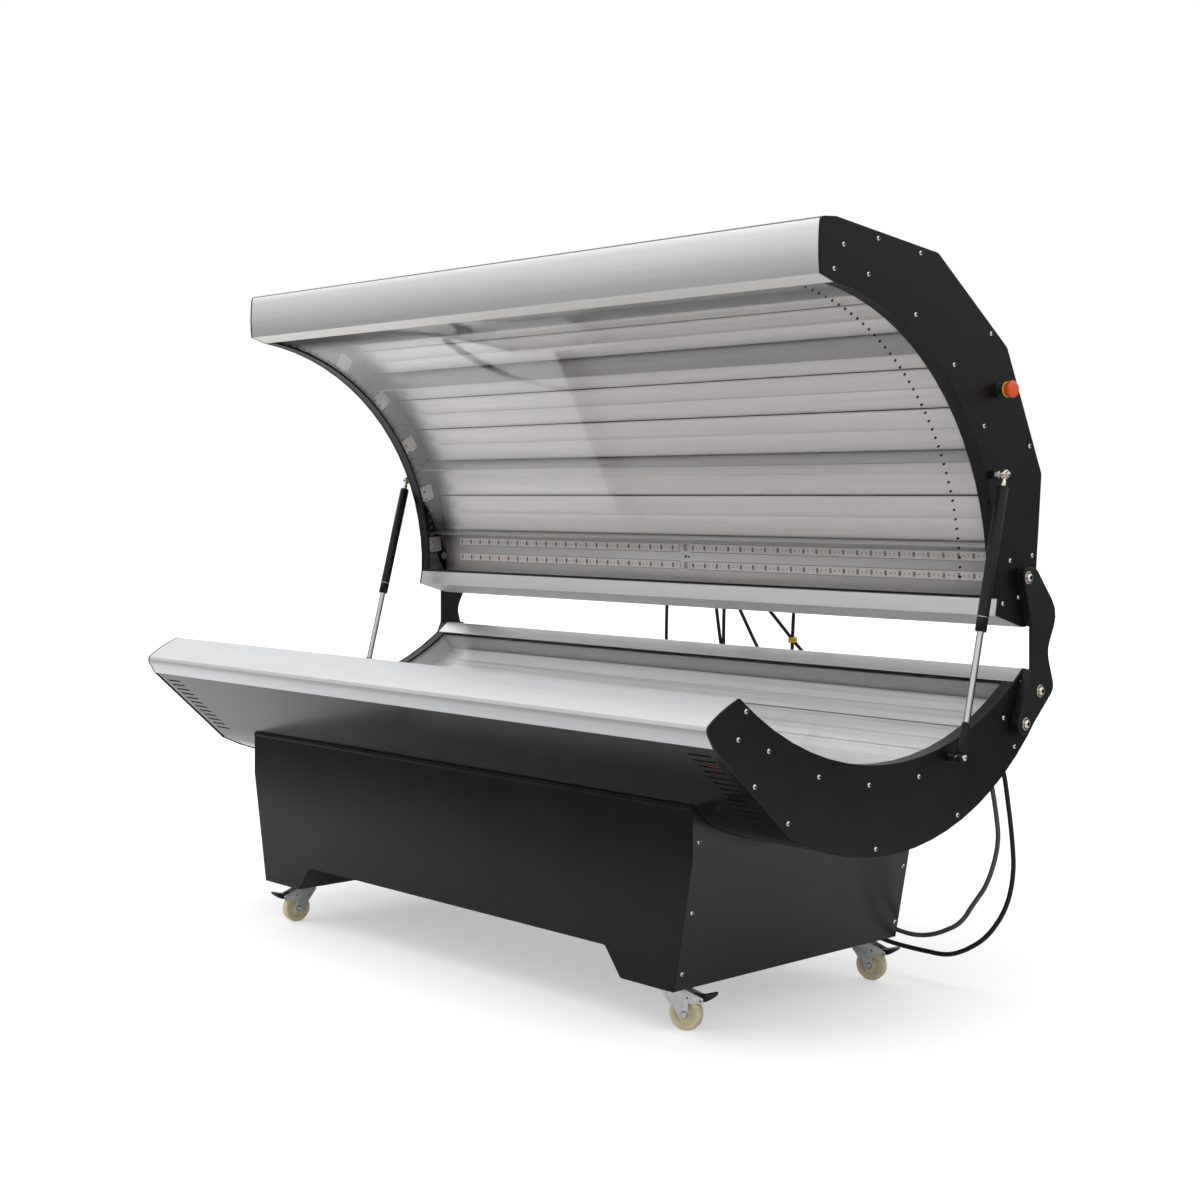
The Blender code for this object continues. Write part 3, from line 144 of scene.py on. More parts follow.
def empty_tree(owner: bpy.types.Material | bpy.types.World) -> Tree:
    """The cleared node tree of a material or world."""
    owner.use_nodes = True
    owner.node_tree.nodes.clear()
    return owner.node_tree


def add_node(tree: Tree, kind: str, inputs: dict[str | int, object] | None = None, how: str = "") -> Node:
    """Add a shader node.

    Args:
        tree: Node tree it goes into.
        kind: Its kind.
        inputs: By name or number, the values and sockets that its inputs take.
        how: Its operation, where it has one.

    Returns:
        The node.
    """
    made = tree.nodes.new(f"ShaderNode{kind}")
    if how:
        made.operation = how
    for key, value in (inputs or {}).items():
        if isinstance(value, Socket):
            tree.links.new(value, made.inputs[key])
        else:
            made.inputs[key].default_value = value
    return made


@dataclass(frozen=True)
class Finish:
    """A surface whose colour, gloss and relief vary with a grain of its own.

    Attributes:
        name: Name of the material.
        colour: Middle colour, linear.
        roughness: Middle roughness.
        metallic: 1 for bare metal.
        colour_spread: Share by which the grain darkens and lightens the colour.
        roughness_spread: How far the grain moves the roughness each way.
        grain: Cloud size of the variation, in waves per metre.
        stretch: Factors on the grain along x, y and z; below 1 draws it out into streaks.
        relief: Waves per metre of the fine relief.
        relief_depth: Depth of the fine relief in metres.
        specular: Specular level of the shader.
        coat: Weight of a clear coat.
    """

    name: str
    colour: Colour
    roughness: float
    metallic: float = 0.0
    colour_spread: float = 0.10
    roughness_spread: float = 0.05
    grain: float = 9.0
    stretch: Triple = (1.0, 1.0, 1.0)
    relief: float = 900.0
    relief_depth: float = 0.00004
    specular: float = 0.5
    coat: float = 0.0

    def shade(self, share: float) -> tuple[float, float, float, float]:
        """The colour times a share, with full alpha."""
        return (*(min(1.0, c * share) for c in self.colour), 1.0)

    def lay(self, tree: Tree) -> Node:
        """Lay the nodes of the finish.

        Args:
            tree: The material's empty node tree.

        Returns:
            The Principled node.
        """
        place = add_node(tree, "TexCoord")
        draw = add_node(tree, "Mapping", {"Vector": place.outputs["Object"], "Scale": self.stretch})
        cloud = self.noise(tree, draw, self.grain, 4.0)
        tint = add_node(tree, "ValToRGB", {"Fac": cloud})
        for mark, spot, sign in zip(tint.color_ramp.elements, (0.3, 0.7), (-1, 1)):
            mark.position = spot
            mark.color = self.shade(1 + sign * self.colour_spread)
        gloss = add_node(tree, "MapRange", {
            "Value": cloud, "To Min": max(0.02, self.roughness - self.roughness_spread),
            "To Max": self.roughness + self.roughness_spread})
        fine = self.noise(tree, draw, self.relief, 2.0)
        bump = add_node(tree, "Bump", {"Distance": self.relief_depth, "Height": fine})
        return add_node(tree, "BsdfPrincipled", {
            "Metallic": self.metallic, "Specular IOR Level": self.specular, "Coat Weight": self.coat,
            "Base Color": tint.outputs["Color"], "Roughness": gloss.outputs["Result"],
            "Normal": bump.outputs["Normal"]})

    @staticmethod
    def noise(tree: Tree, place: Node, scale: float, detail: float) -> Socket:
        """Add a noise.

        Args:
            tree: Node tree it goes into.
            place: Node whose vector it reads.
            scale: Waves per metre.
            detail: Octaves.

        Returns:
            Its value.
        """
        inputs = {"Vector": place.outputs[0], "Scale": scale, "Detail": detail}
        return add_node(tree, "TexNoise", inputs).outputs["Fac"]

    @staticmethod
    def scale_colour(tree: Tree, shader: Node, share: Socket) -> None:
        """Scale the colour of a laid shader.

        Args:
            tree: Node tree it stands in.
            shader: The shader.
            share: Gives the share of the colour that is left.
        """
        base = shader.inputs["Base Color"]
        scaled = add_node(tree, "VectorMath", {0: base.links[0].from_socket, "Scale": share}, "SCALE")
        tree.links.new(scaled.outputs["Vector"], base)

    def surface(self, tree: Tree) -> Socket:
        """The shader socket that goes to the output."""
        return self.lay(tree).outputs["BSDF"]


@dataclass(frozen=True)
class ClearFinish(Finish):
    """Clear acrylic: light and sight pass, and its gloss grows at a slant.

    Attributes:
        tint: Colour of what passes.
        least: Share of gloss face on.
        most: Share of gloss at the flattest slant.
        steepness: Power by which the gloss grows with the slant.
    """

    tint: Colour = (0.965, 0.968, 0.972)
    least: float = 0.04
    most: float = 0.82
    steepness: float = 5.0

    def surface(self, tree: Tree) -> Socket:
        """The gloss laid over a clear pass, more of it at a slant."""
        gloss = self.lay(tree)
        clear = add_node(tree, "BsdfTransparent", {"Color": (*self.tint, 1.0)})
        slant = add_node(tree, "LayerWeight", {"Blend": 0.5})
        steep = add_node(tree, "Math", {0: slant.outputs["Facing"], 1: self.steepness}, "POWER")
        share = add_node(tree, "MapRange", {"Value": steep.outputs["Value"], "To Min": self.least,
                                            "To Max": self.most})
        mix = add_node(tree, "MixShader", {"Fac": share.outputs["Result"], 1: clear.outputs["BSDF"],
                                           2: gloss.outputs["BSDF"]})
        return mix.outputs["Shader"]


@dataclass(frozen=True)
class GlowFinish(Finish):
    """A lit lens.

    Attributes:
        strength: Strength of its light.
    """

    strength: float = 1.0

    def surface(self, tree: Tree) -> Socket:
        """The plain finish with light of the same colour."""
        shader = self.lay(tree)
        shader.inputs["Emission Color"].default_value = self.shade(1.0)
        shader.inputs["Emission Strength"].default_value = self.strength
        return shader.outputs["BSDF"]


@dataclass(frozen=True)
class EdgedFinish(Finish):
    """Bright metal with painted shade that darkens its colour towards its outline.

    Attributes:
        edge: Share of the colour that is left at the outline.
        fade: Slants at which it starts to darken and has darkened.
    """

    edge: float = 0.15
    fade: Flat = (0.12, 0.62)

    def surface(self, tree: Tree) -> Socket:
        """The plain finish with its colour dimmed at a slant, as painted shade."""
        shader = self.lay(tree)
        slant = add_node(tree, "LayerWeight", {"Blend": 0.5})
        dim = add_node(tree, "MapRange", {"Value": slant.outputs["Facing"], "From Min": self.fade[0],
                                          "From Max": self.fade[1], "To Min": 1.0, "To Max": self.edge})
        self.scale_colour(tree, shader, dim.outputs["Result"])
        return shader.outputs["BSDF"]


@dataclass(frozen=True)
class NosedFinish(Finish):
    """Metal with a soft band of painted shade where a round nose turns under.

    Attributes:
        band: Rises of the surface's normal, each with the share of the colour that is left there.
    """

    band: tuple[Flat, ...] = ((-0.51, 1.0), (-0.42, 0.66), (-0.25, 0.50), (0.0, 0.62), (0.5, 1.0))

    def surface(self, tree: Tree) -> Socket:
        """The plain finish with its colour dimmed by the rise of the surface's normal, as painted shade."""
        shader = self.lay(tree)
        facing = add_node(tree, "NewGeometry")
        split = add_node(tree, "SeparateXYZ", {"Vector": facing.outputs["Normal"]})
        rise = add_node(tree, "MapRange", {"Value": split.outputs["Z"], "From Min": -1.0})
        share = add_node(tree, "ValToRGB", {"Fac": rise.outputs["Result"]})
        marks = share.color_ramp.elements
        while len(marks) < len(self.band):
            marks.new(0.5)
        for mark, (height, left) in zip(marks, self.band):
            mark.position = (height + 1) / 2
            mark.color = (left, left, left, 1.0)
        self.scale_colour(tree, shader, share.outputs["Color"])
        return shader.outputs["BSDF"]


@lru_cache(maxsize=None)
def material_of(finish: Finish) -> bpy.types.Material:
    """The material of a finish, made once.

    Args:
        finish: The finish.

    Returns:
        A node material.
    """
    made = bpy.data.materials.new(finish.name)
    tree = empty_tree(made)
    add_node(tree, "OutputMaterial", {"Surface": finish.surface(tree)})
    return made


SATIN_BLACK = Finish("satin_black_powder_coat", (0.0052, 0.0052, 0.0055), 0.36, colour_spread=0.22,
                     specular=0.24, relief=1400.0, relief_depth=0.00003)
ARM_BLACK = Finish("hinge_arm_coat", (0.007, 0.007, 0.0075), 0.40, colour_spread=0.2, specular=0.32,
                   relief=1100.0)
GLOSS_BLACK = Finish("gloss_black_enamel", (0.005, 0.005, 0.0055), 0.15, colour_spread=0.2,
                     roughness_spread=0.02, specular=0.28, relief=260.0, relief_depth=0.00001)
CABINET_BLACK = Finish("cabinet_black_coat", (0.0050, 0.0050, 0.0053), 0.22, colour_spread=0.2,
                       specular=0.50, relief=1200.0, relief_depth=0.00003)
PANEL_BLACK = Finish("front_panel_enamel", (0.0042, 0.0042, 0.0045), 0.20, colour_spread=0.2, specular=0.20,
                     relief=1000.0, relief_depth=0.00002)
ANODISED = Finish("anodised_aluminium", (0.79, 0.79, 0.80), 0.33, 0.92, colour_spread=0.03,
                  roughness_spread=0.04, grain=60.0, stretch=(0.03, 1.0, 1.0), relief=1800.0,
                  relief_depth=0.000012)
# The bed's front rail: a band of painted shade on its nose.
RAIL_SILVER = NosedFinish("rail_aluminium", (0.61, 0.615, 0.628), 0.40, 0.5, colour_spread=0.03,
                          roughness_spread=0.04, grain=60.0, stretch=(0.03, 1.0, 1.0), relief=1800.0,
                          relief_depth=0.000012)
# Darker, duller silver for the rail's under face: painted shade.
SHADED_UNDER_SILVER = replace(ANODISED, name="under_aluminium", colour=(0.46, 0.46, 0.46), metallic=0.3,
                       roughness=0.5)
# A darker copy of the anodised finish for the canopy's rear rail: painted shade.
SHADED_SILL_SILVER = replace(ANODISED, name="sill_aluminium", colour=(0.60, 0.60, 0.61))
LIP_SILVER = replace(ANODISED, name="lip_aluminium", colour=(0.74, 0.725, 0.705), metallic=0.25,
                     roughness=0.42)
FIN_METAL = Finish("mill_aluminium", (0.58, 0.58, 0.58), 0.30, 0.85, colour_spread=0.06, grain=80.0,
                   stretch=(0.02, 1.0, 1.0), relief=1600.0, relief_depth=0.00002)
CLEAR = ClearFinish("clear_acrylic", (0.92, 0.92, 0.93), 0.06, 1.0, colour_spread=0.02,
                    roughness_spread=0.02, relief=14.0, relief_depth=0.00003)
CLEAR_BED = replace(CLEAR, name="clear_bed_acrylic", roughness=0.20)
BOARD_WHITE = Finish("led_board_cover", (0.79, 0.752, 0.72), 0.34, colour_spread=0.055, grain=48.0,
                     stretch=(0.03, 1.0, 1.0), relief=700.0, relief_depth=0.00005)
BED_WHITE = replace(BOARD_WHITE, name="bed_board_cover", colour=(0.84, 0.825, 0.815), colour_spread=0.17,
                    grain=75.0, stretch=(0.012, 1.0, 1.0))
STRIP_CREAM = Finish("led_strip_base", (0.78, 0.73, 0.70), 0.5, colour_spread=0.05, grain=50.0)
STRIP_LINE = Finish("led_strip_edge", (0.23, 0.215, 0.205), 0.5, colour_spread=0.1, grain=50.0)
JOINT_GREY = Finish("strip_joint_tab", (0.36, 0.33, 0.31), 0.5, colour_spread=0.2, grain=220.0)
CHIP_BROWN = Finish("led_chip", (0.33, 0.20, 0.15), 0.35, colour_spread=0.25, grain=70.0)
LINER_GREY = Finish("liner_grey", (0.095, 0.092, 0.095), 0.42, 0.35, colour_spread=0.1, relief=800.0)
WALL_GREY = Finish("tray_wall_grey", (0.43, 0.43, 0.43), 0.45, 0.3, colour_spread=0.06, grain=40.0,
                   stretch=(0.03, 1.0, 1.0))
BRACKET_METAL = Finish("bracket_metal", (0.62, 0.60, 0.57), 0.36, 0.7, colour_spread=0.12, grain=80.0)
EDGE_GREY = Finish("rail_top_edge", (0.11, 0.11, 0.112), 0.45, 0.3, colour_spread=0.12, grain=60.0,
                   stretch=(0.03, 1.0, 1.0))
# Black rubber of seals and strips; the walls of the acrylic's holes use it as painted shade.
GASKET_AND_HOLE_SHADE = Finish("gasket_rubber", (0.008, 0.008, 0.0085), 0.55, colour_spread=0.2, specular=0.15,
                relief=1500.0)
NICKEL = Finish("nickel_plate", (0.74, 0.69, 0.62), 0.20, 1.0, colour_spread=0.08, grain=150.0,
                relief=2500.0, relief_depth=0.00001)
# Dark finish for painted shade in sockets, wells and rings under heads and nuts; the strip joint's two
# screws use it too.
SOCKET_DARK = Finish("socket_shadow", (0.035, 0.032, 0.03), 0.5, 0.6, colour_spread=0.2, grain=200.0)
# The rod's dark outline is painted shade in its colour.
CHROME = EdgedFinish("chrome_rod", (0.52, 0.52, 0.54), 0.13, 1.0, colour_spread=0.03, grain=40.0,
                     stretch=(1.0, 1.0, 0.1), relief=2500.0, relief_depth=0.000006)
STRUT_BLACK = Finish("strut_enamel", (0.005, 0.005, 0.0055), 0.26, colour_spread=0.2, specular=0.25,
                     relief=900.0, relief_depth=0.00002)
SOCKET_BLACK = Finish("strut_socket_plastic", (0.007, 0.007, 0.0075), 0.36, colour_spread=0.2, specular=0.25)
ZINC = Finish("zinc_plate", (0.66, 0.68, 0.68), 0.34, 0.85, colour_spread=0.14, roughness_spread=0.08,
              grain=120.0, relief=1200.0)
WHEEL_NYLON = Finish("wheel_nylon", (0.62, 0.545, 0.35), 0.42, colour_spread=0.12, grain=70.0, relief=900.0,
                     relief_depth=0.00008)
PEDAL_BLACK = Finish("pedal_plastic", (0.009, 0.009, 0.0095), 0.34, colour_spread=0.25, specular=0.3,
                     relief=900.0, relief_depth=0.00008)
CORD_BLACK = Finish("cord_rubber", (0.009, 0.009, 0.0095), 0.46, colour_spread=0.2, grain=60.0, specular=0.3,
                    relief=1500.0, relief_depth=0.00005)
CORD_GREY = Finish("cord_grey_rubber", (0.075, 0.066, 0.062), 0.45, colour_spread=0.15, grain=60.0,
                   relief=1500.0, relief_depth=0.00005)
TIE_YELLOW = Finish("tie_yellow", (0.62, 0.43, 0.02), 0.45, colour_spread=0.18, grain=200.0)
STOP_BLACK = Finish("stop_collar_plastic", (0.009, 0.009, 0.0095), 0.36, colour_spread=0.2, specular=0.3)
STOP_YELLOW = Finish("stop_ring_yellow", (0.86, 0.50, 0.025), 0.34, colour_spread=0.06, grain=150.0)
STOP_RED = Finish("stop_cap_red", (0.78, 0.072, 0.014), 0.33, colour_spread=0.07, grain=120.0, coat=0.2)
SUPPLY_METAL = Finish("supply_case_metal", (0.58, 0.59, 0.59), 0.4, 0.8, colour_spread=0.08, grain=60.0)
GLOW_RED = GlowFinish("indicator_red", (0.55, 0.03, 0.02), 0.4, colour_spread=0.2, grain=120.0, strength=0.9)


# Shapes

SWEEP_X = Matrix(((0, 0, 1, 0), (1, 0, 0, 0), (0, 1, 0, 0), (0, 0, 0, 1)))   # (y, z) outline, pushed along X
SWEEP_Y = Matrix(((1, 0, 0, 0), (0, 0, 1, 0), (0, 1, 0, 0), (0, 0, 0, 1)))   # (x, z) outline, pushed along Y


def out_of_end(side: Side, x: float, y: float, z: float) -> Matrix:
    """The frame of a turned piece that points out of one end of the bed.

    Args:
        side: Which end.
        x: Distance from the middle of the bed.
        y: Depth.
        z: Height.

    Returns:
        A matrix whose Z points outwards.
    """
    turn = Matrix.Rotation(math.pi / 2 * side.value, 4, "Y")
    return Matrix.Translation((side.value * x, y, z)) @ turn


def along(point: Sequence[float], way: Sequence[float]) -> Matrix:
    """The frame at a point whose Z points along a way."""
    turn = Vector((0, 0, 1)).rotation_difference(Vector(way)).to_matrix().to_4x4()
    return Matrix.Translation(point) @ turn


def round_outline(radius: float, steps: int = 24, centre: Flat = (0.0, 0.0)) -> list[Flat]:
    """Points of a circle.

    Args:
        radius: Its radius.
        steps: How many points.
        centre: Its centre.

    Returns:
        The points in order.
    """
    turns = [2 * math.pi * i / steps for i in range(steps)]
    return [(centre[0] + radius * math.cos(t), centre[1] + radius * math.sin(t)) for t in turns]


def box_outline(width: float, height: float, round_by: float, steps: int = 4) -> list[Flat]:
    """A box with round corners about the origin.

    Args:
        width: Size across.
        height: Size up.
        round_by: Radius of the corners.
        steps: Points added to a corner.

    Returns:
        The points in order.
    """
    points: list[Flat] = []
    half_w, half_h = width / 2 - round_by, height / 2 - round_by
    for number, (sx, sy) in enumerate(((1, 1), (-1, 1), (-1, -1), (1, -1))):
        for k in range(steps + 1):
            turn = math.pi / 2 * (number + k / steps)
            points.append((sx * half_w + round_by * math.cos(turn), sy * half_h + round_by * math.sin(turn)))
    return points


def spread(start: float, end: float, count: int) -> list[float]:
    """Values from start to end in equal steps, both included."""
    return [start + (end - start) * i / count for i in range(count + 1)]


@dataclass(frozen=True)
class Bow:
    """A round of the end view.

    Attributes:
        centre: Its centre as (y, z).
        radius: Its radius.
    """

    centre: Flat
    radius: float

    def at(self, angle: float, out: float = 0.0) -> Flat:
        """The point at an angle in degrees, some way outside the round."""
        turn = math.radians(angle)
        reach = self.radius + out
        return (self.centre[0] + reach * math.cos(turn), self.centre[1] + reach * math.sin(turn))

    def sector(self, start: float, end: float, near: float, far: float, step: float = 1.5) -> list[Flat]:
        """The outline of a strip of a ring.

        Args:
            start: First angle in degrees.
            end: Last angle.
            near: Inner edge outside the round.
            far: Outer edge outside the round.
            step: Most degrees between points.

        Returns:
            The points in order.
        """
        count = max(2, math.ceil(abs(end - start) / step))
        angles = spread(start, end, count)
        return [self.at(a, near) for a in angles] + [self.at(a, far) for a in reversed(angles)]


TROUGH = Bow((0.0, 1.3532), 0.7575)
HOLLOW = Bow((-0.2788, 0.9673), 0.6666)     # the canopy's round
BELLY = Bow((-0.0135, 1.1225), 0.7245)
SHEET_NEAR = 0.0043                         # the clear sheets behind the end plates' round
SHEET_FAR = 0.0083


class Shape:
    """A mesh under construction, in the object's frame."""

    def __init__(self) -> None:
        """Start empty."""
        self.mesh = bmesh.new()
        self.finishes: list[Finish] = []
        self.index = 0

    def use(self, finish: Finish) -> "Shape":
        """Give a finish to the faces that follow."""
        if finish not in self.finishes:
            self.finishes.append(finish)
        self.index = self.finishes.index(finish)
        return self

    def face(self, corners: Sequence[MeshPoint]) -> None:
        """Add one face with the current finish."""
        made = self.mesh.faces.new(corners)
        made.material_index = self.index

    def ring(self, outline: Sequence[Flat], height: float, place: Matrix) -> list[MeshPoint]:
        """Add the points of a flat outline at a height in a frame."""
        return [self.mesh.verts.new(place @ Vector((u, v, height))) for u, v in outline]

    def band(self, one: Sequence[MeshPoint], two: Sequence[MeshPoint]) -> None:
        """Add the faces between two closed rings of points."""
        for i in range(len(one)):
            j = (i + 1) % len(one)
            self.face((one[i], one[j], two[j], two[i]))

    def prism(self, outline: Sequence[Flat], low: float, high: float, place: Matrix = SWEEP_X) -> "Shape":
        """Push a flat outline.

        Args:
            outline: Its points in the frame's first two axes.
            low: Start along the third axis.
            high: End along the third axis.
            place: The frame.

        Returns:
            This shape.
        """
        near, far = (self.ring(outline, height, place) for height in (low, high))
        self.face(near[::-1])
        self.face(far)
        self.band(near, far)
        return self

    def turned(self, profile: Sequence[Flat], place: Matrix, steps: int = 32) -> "Shape":
        """Turn a profile about the frame's Z.

        Args:
            profile: Points (radius, height); radius 0 closes an end.
            place: The frame.
            steps: Sides.

        Returns:
            This shape.
        """
        rings = []
        for radius, height in profile:
            outline = round_outline(radius, steps) if radius > 0 else [(0.0, 0.0)]
            rings.append(self.ring(outline, height, place))
        for one, two in zip(rings, rings[1:]):
            for i in range(steps):
                j = (i + 1) % steps
                if len(one) == 1:
                    self.face((one[0], two[i], two[j]))
                elif len(two) == 1:
                    self.face((one[i], two[0], one[j]))
                else:
                    self.face((one[i], two[i], two[j], one[j]))
        return self

    def sheet(self, rows: Sequence[Sequence[Vector]]) -> "Shape":
        """Add a grid of points as a skin.

        Args:
            rows: Equal rows of points.

        Returns:
            This shape.
        """
        grid = [[self.mesh.verts.new(p) for p in row] for row in rows]
        for one, two in zip(grid, grid[1:]):
            for i in range(len(one) - 1):
                self.face((one[i], one[i + 1], two[i + 1], two[i]))
        return self

    def tube(self, path: Sequence[Vector], radius: float, steps: int = 14) -> "Shape":
        """Run a round section along a path, with closed ends.

        Args:
            path: Points of the centre line.
            radius: Radius of the section.
            steps: Sides.

        Returns:
            This shape.
        """
        rings = []
        for number, point in enumerate(path):
            before = path[max(0, number - 1)]
            after = path[min(len(path) - 1, number + 1)]
            way = (after - before).normalized()
            across = way.cross(Vector((1, 0, 0))).normalized()
            up = across.cross(way)
            circle = round_outline(radius, steps)
            rings.append([self.mesh.verts.new(point + across * u + up * v) for u, v in circle])
        for one, two in zip(rings, rings[1:]):
            self.band(one, two)
        self.face(rings[0][::-1])
        self.face(rings[-1])
        return self

    def node(self, name: str) -> "Shape":
        """Take over the solid of a CAD node, welded and with as few faces as it needs."""
        self.mesh.from_mesh(bpy.data.objects[name].data)
        bmesh.ops.remove_doubles(self.mesh, verts=self.mesh.verts, dist=WELD)
        bmesh.ops.dissolve_limit(self.mesh, angle_limit=FLAT_ANGLE, verts=self.mesh.verts,
                                 edges=self.mesh.edges)
        bmesh.ops.triangulate(self.mesh, faces=[f for f in self.mesh.faces if len(f.verts) > 4])
        for made in self.mesh.faces:
            made.material_index = self.index
        return self

    def soften(self, width: float, steps: int = 2, clamp: bool = True) -> "Shape":
        """Round the sharp edges made so far.

        Args:
            width: Width of the rounding.
            steps: Faces across it.
            clamp: Whether the shortest edge limits the width.

        Returns:
            This shape.
        """
        bmesh.ops.recalc_face_normals(self.mesh, faces=self.mesh.faces)
        sharp = [e for e in self.mesh.edges if e.is_manifold and e.calc_face_angle(0.0) > SHARP_ANGLE]
        bmesh.ops.bevel(self.mesh, geom=sharp, offset=width, segments=steps, profile=0.5, affect="EDGES",
                        clamp_overlap=clamp)
        return self

    def build(self, name: str) -> Piece:
        """Finish the mesh.

        Args:
            name: Name of the piece.

        Returns:
            The object, linked to the scene, shaded smooth between its sharp edges.
        """
        bmesh.ops.recalc_face_normals(self.mesh, faces=self.mesh.faces)
        data = bpy.data.meshes.new(name)
        self.mesh.to_mesh(data)
        self.mesh.free()
        for finish in self.finishes:
            data.materials.append(material_of(finish))
        data.shade_smooth()
        data.set_sharp_from_angle(angle=SHARP_ANGLE)
        made = bpy.data.objects.new(name, data)
        bpy.context.scene.collection.objects.link(made)
        return made

    def fit(self, name: str, body: str, slot: Slot, *nodes: str) -> Piece:
        """Finish the mesh as a piece on its body; the other values are those of fasten."""
        return fasten(self.build(name), body, slot, *nodes)


def fasten(piece: Piece, body: str, slot: Slot, *nodes: str) -> Piece:
    """Put a piece on its body.

    Args:
        piece: The piece.
        body: Name of the body.
        slot: Material slot of the record that it belongs to; not used.
        *nodes: CAD nodes that it stands for.

    Returns:
        The piece.
    """
    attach(piece, body)
    if nodes:
        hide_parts(*nodes)
    LOG.info("%s on %s", piece.name, body)
    return piece


def refine(node: str, piece: str, finish: Finish, body: str, slot: Slot, width: float) -> Piece:
    """Stand a piece with softened edges and smooth rounds in for a CAD node.

    Args:
        node: The CAD node.
        piece: Name of the piece.
        finish: Its finish.
        body: Its body.
        slot: Its material slot.
        width: Width of the rounding of its edges.

    Returns:
        The piece.
    """
    made = Shape().use(finish).node(node).soften(width, clamp=False).build(piece)
    even = made.modifiers.new("even_shading", "WEIGHTED_NORMAL")
    even.keep_sharp = True
    return fasten(made, body, slot, node)


@dataclass(frozen=True)
class Crown:
    """The full top of the bed's front, from the nose to the crest.

    Attributes:
        nose: Where it starts, as (y, z).
        crest: Where it ends.
        sag: How far the plain top hangs under the line between them, at its middle.
        rise: How far the full top stands over that line.
        reach: How far from the plain top a point may lie and still move with it.
    """

    nose: Flat = (-0.56705, 0.73136)
    crest: Flat = (-0.4870, 0.7730)
    sag: float = 0.0040
    rise: float = 0.0030
    reach: float = 0.0016

    def apply(self, made: Piece) -> None:
        """Lift the points of a piece's top.

        Args:
            made: The piece.
        """
        start = Vector(self.nose)
        line = Vector(self.crest) - start
        length = line.length
        way = line / length
        out = Vector((-way.y, way.x))
        for point in made.data.vertices:
            offset = Vector((point.co.y, point.co.z)) - start
            share = offset.dot(way) / length
            bulge = 4 * share * (1 - share)
            if 0 < share < 1 and abs(offset.dot(out) + self.sag * bulge) < self.reach:
                lift = out * (self.sag + self.rise) * bulge
                point.co.y += lift.x
                point.co.z += lift.y


CROWN = Crown()


def joint_place(joints: Sequence[dict], name: str) -> Vector:
    """Where a joint of the record sits."""
    return Vector(next(j["pos_m"] for j in joints if j["name"] == name))


# Studio

@dataclass(frozen=True)
class Lamp:
    """A soft square lamp.

    Attributes:
        name: Its name.
        place: Where it hangs.
        target: What it points at.
        size: Its side.
        power: Its power in watts.
        mirrored: Whether gloss mirrors it.
    """

    name: str
    place: Triple
    target: Triple
    size: float
    power: float
    mirrored: bool

    def hang(self) -> None:
        """Hang it in the scene."""
        data = bpy.data.lights.new(self.name, "AREA")
        data.size = self.size
        data.energy = self.power
        made = bpy.data.objects.new(self.name, data)
        made.location = self.place
        made.visible_glossy = self.mirrored
        way = Vector(self.target) - Vector(self.place)
        made.rotation_euler = way.to_track_quat("-Z", "Y").to_euler()
        bpy.context.scene.collection.objects.link(made)


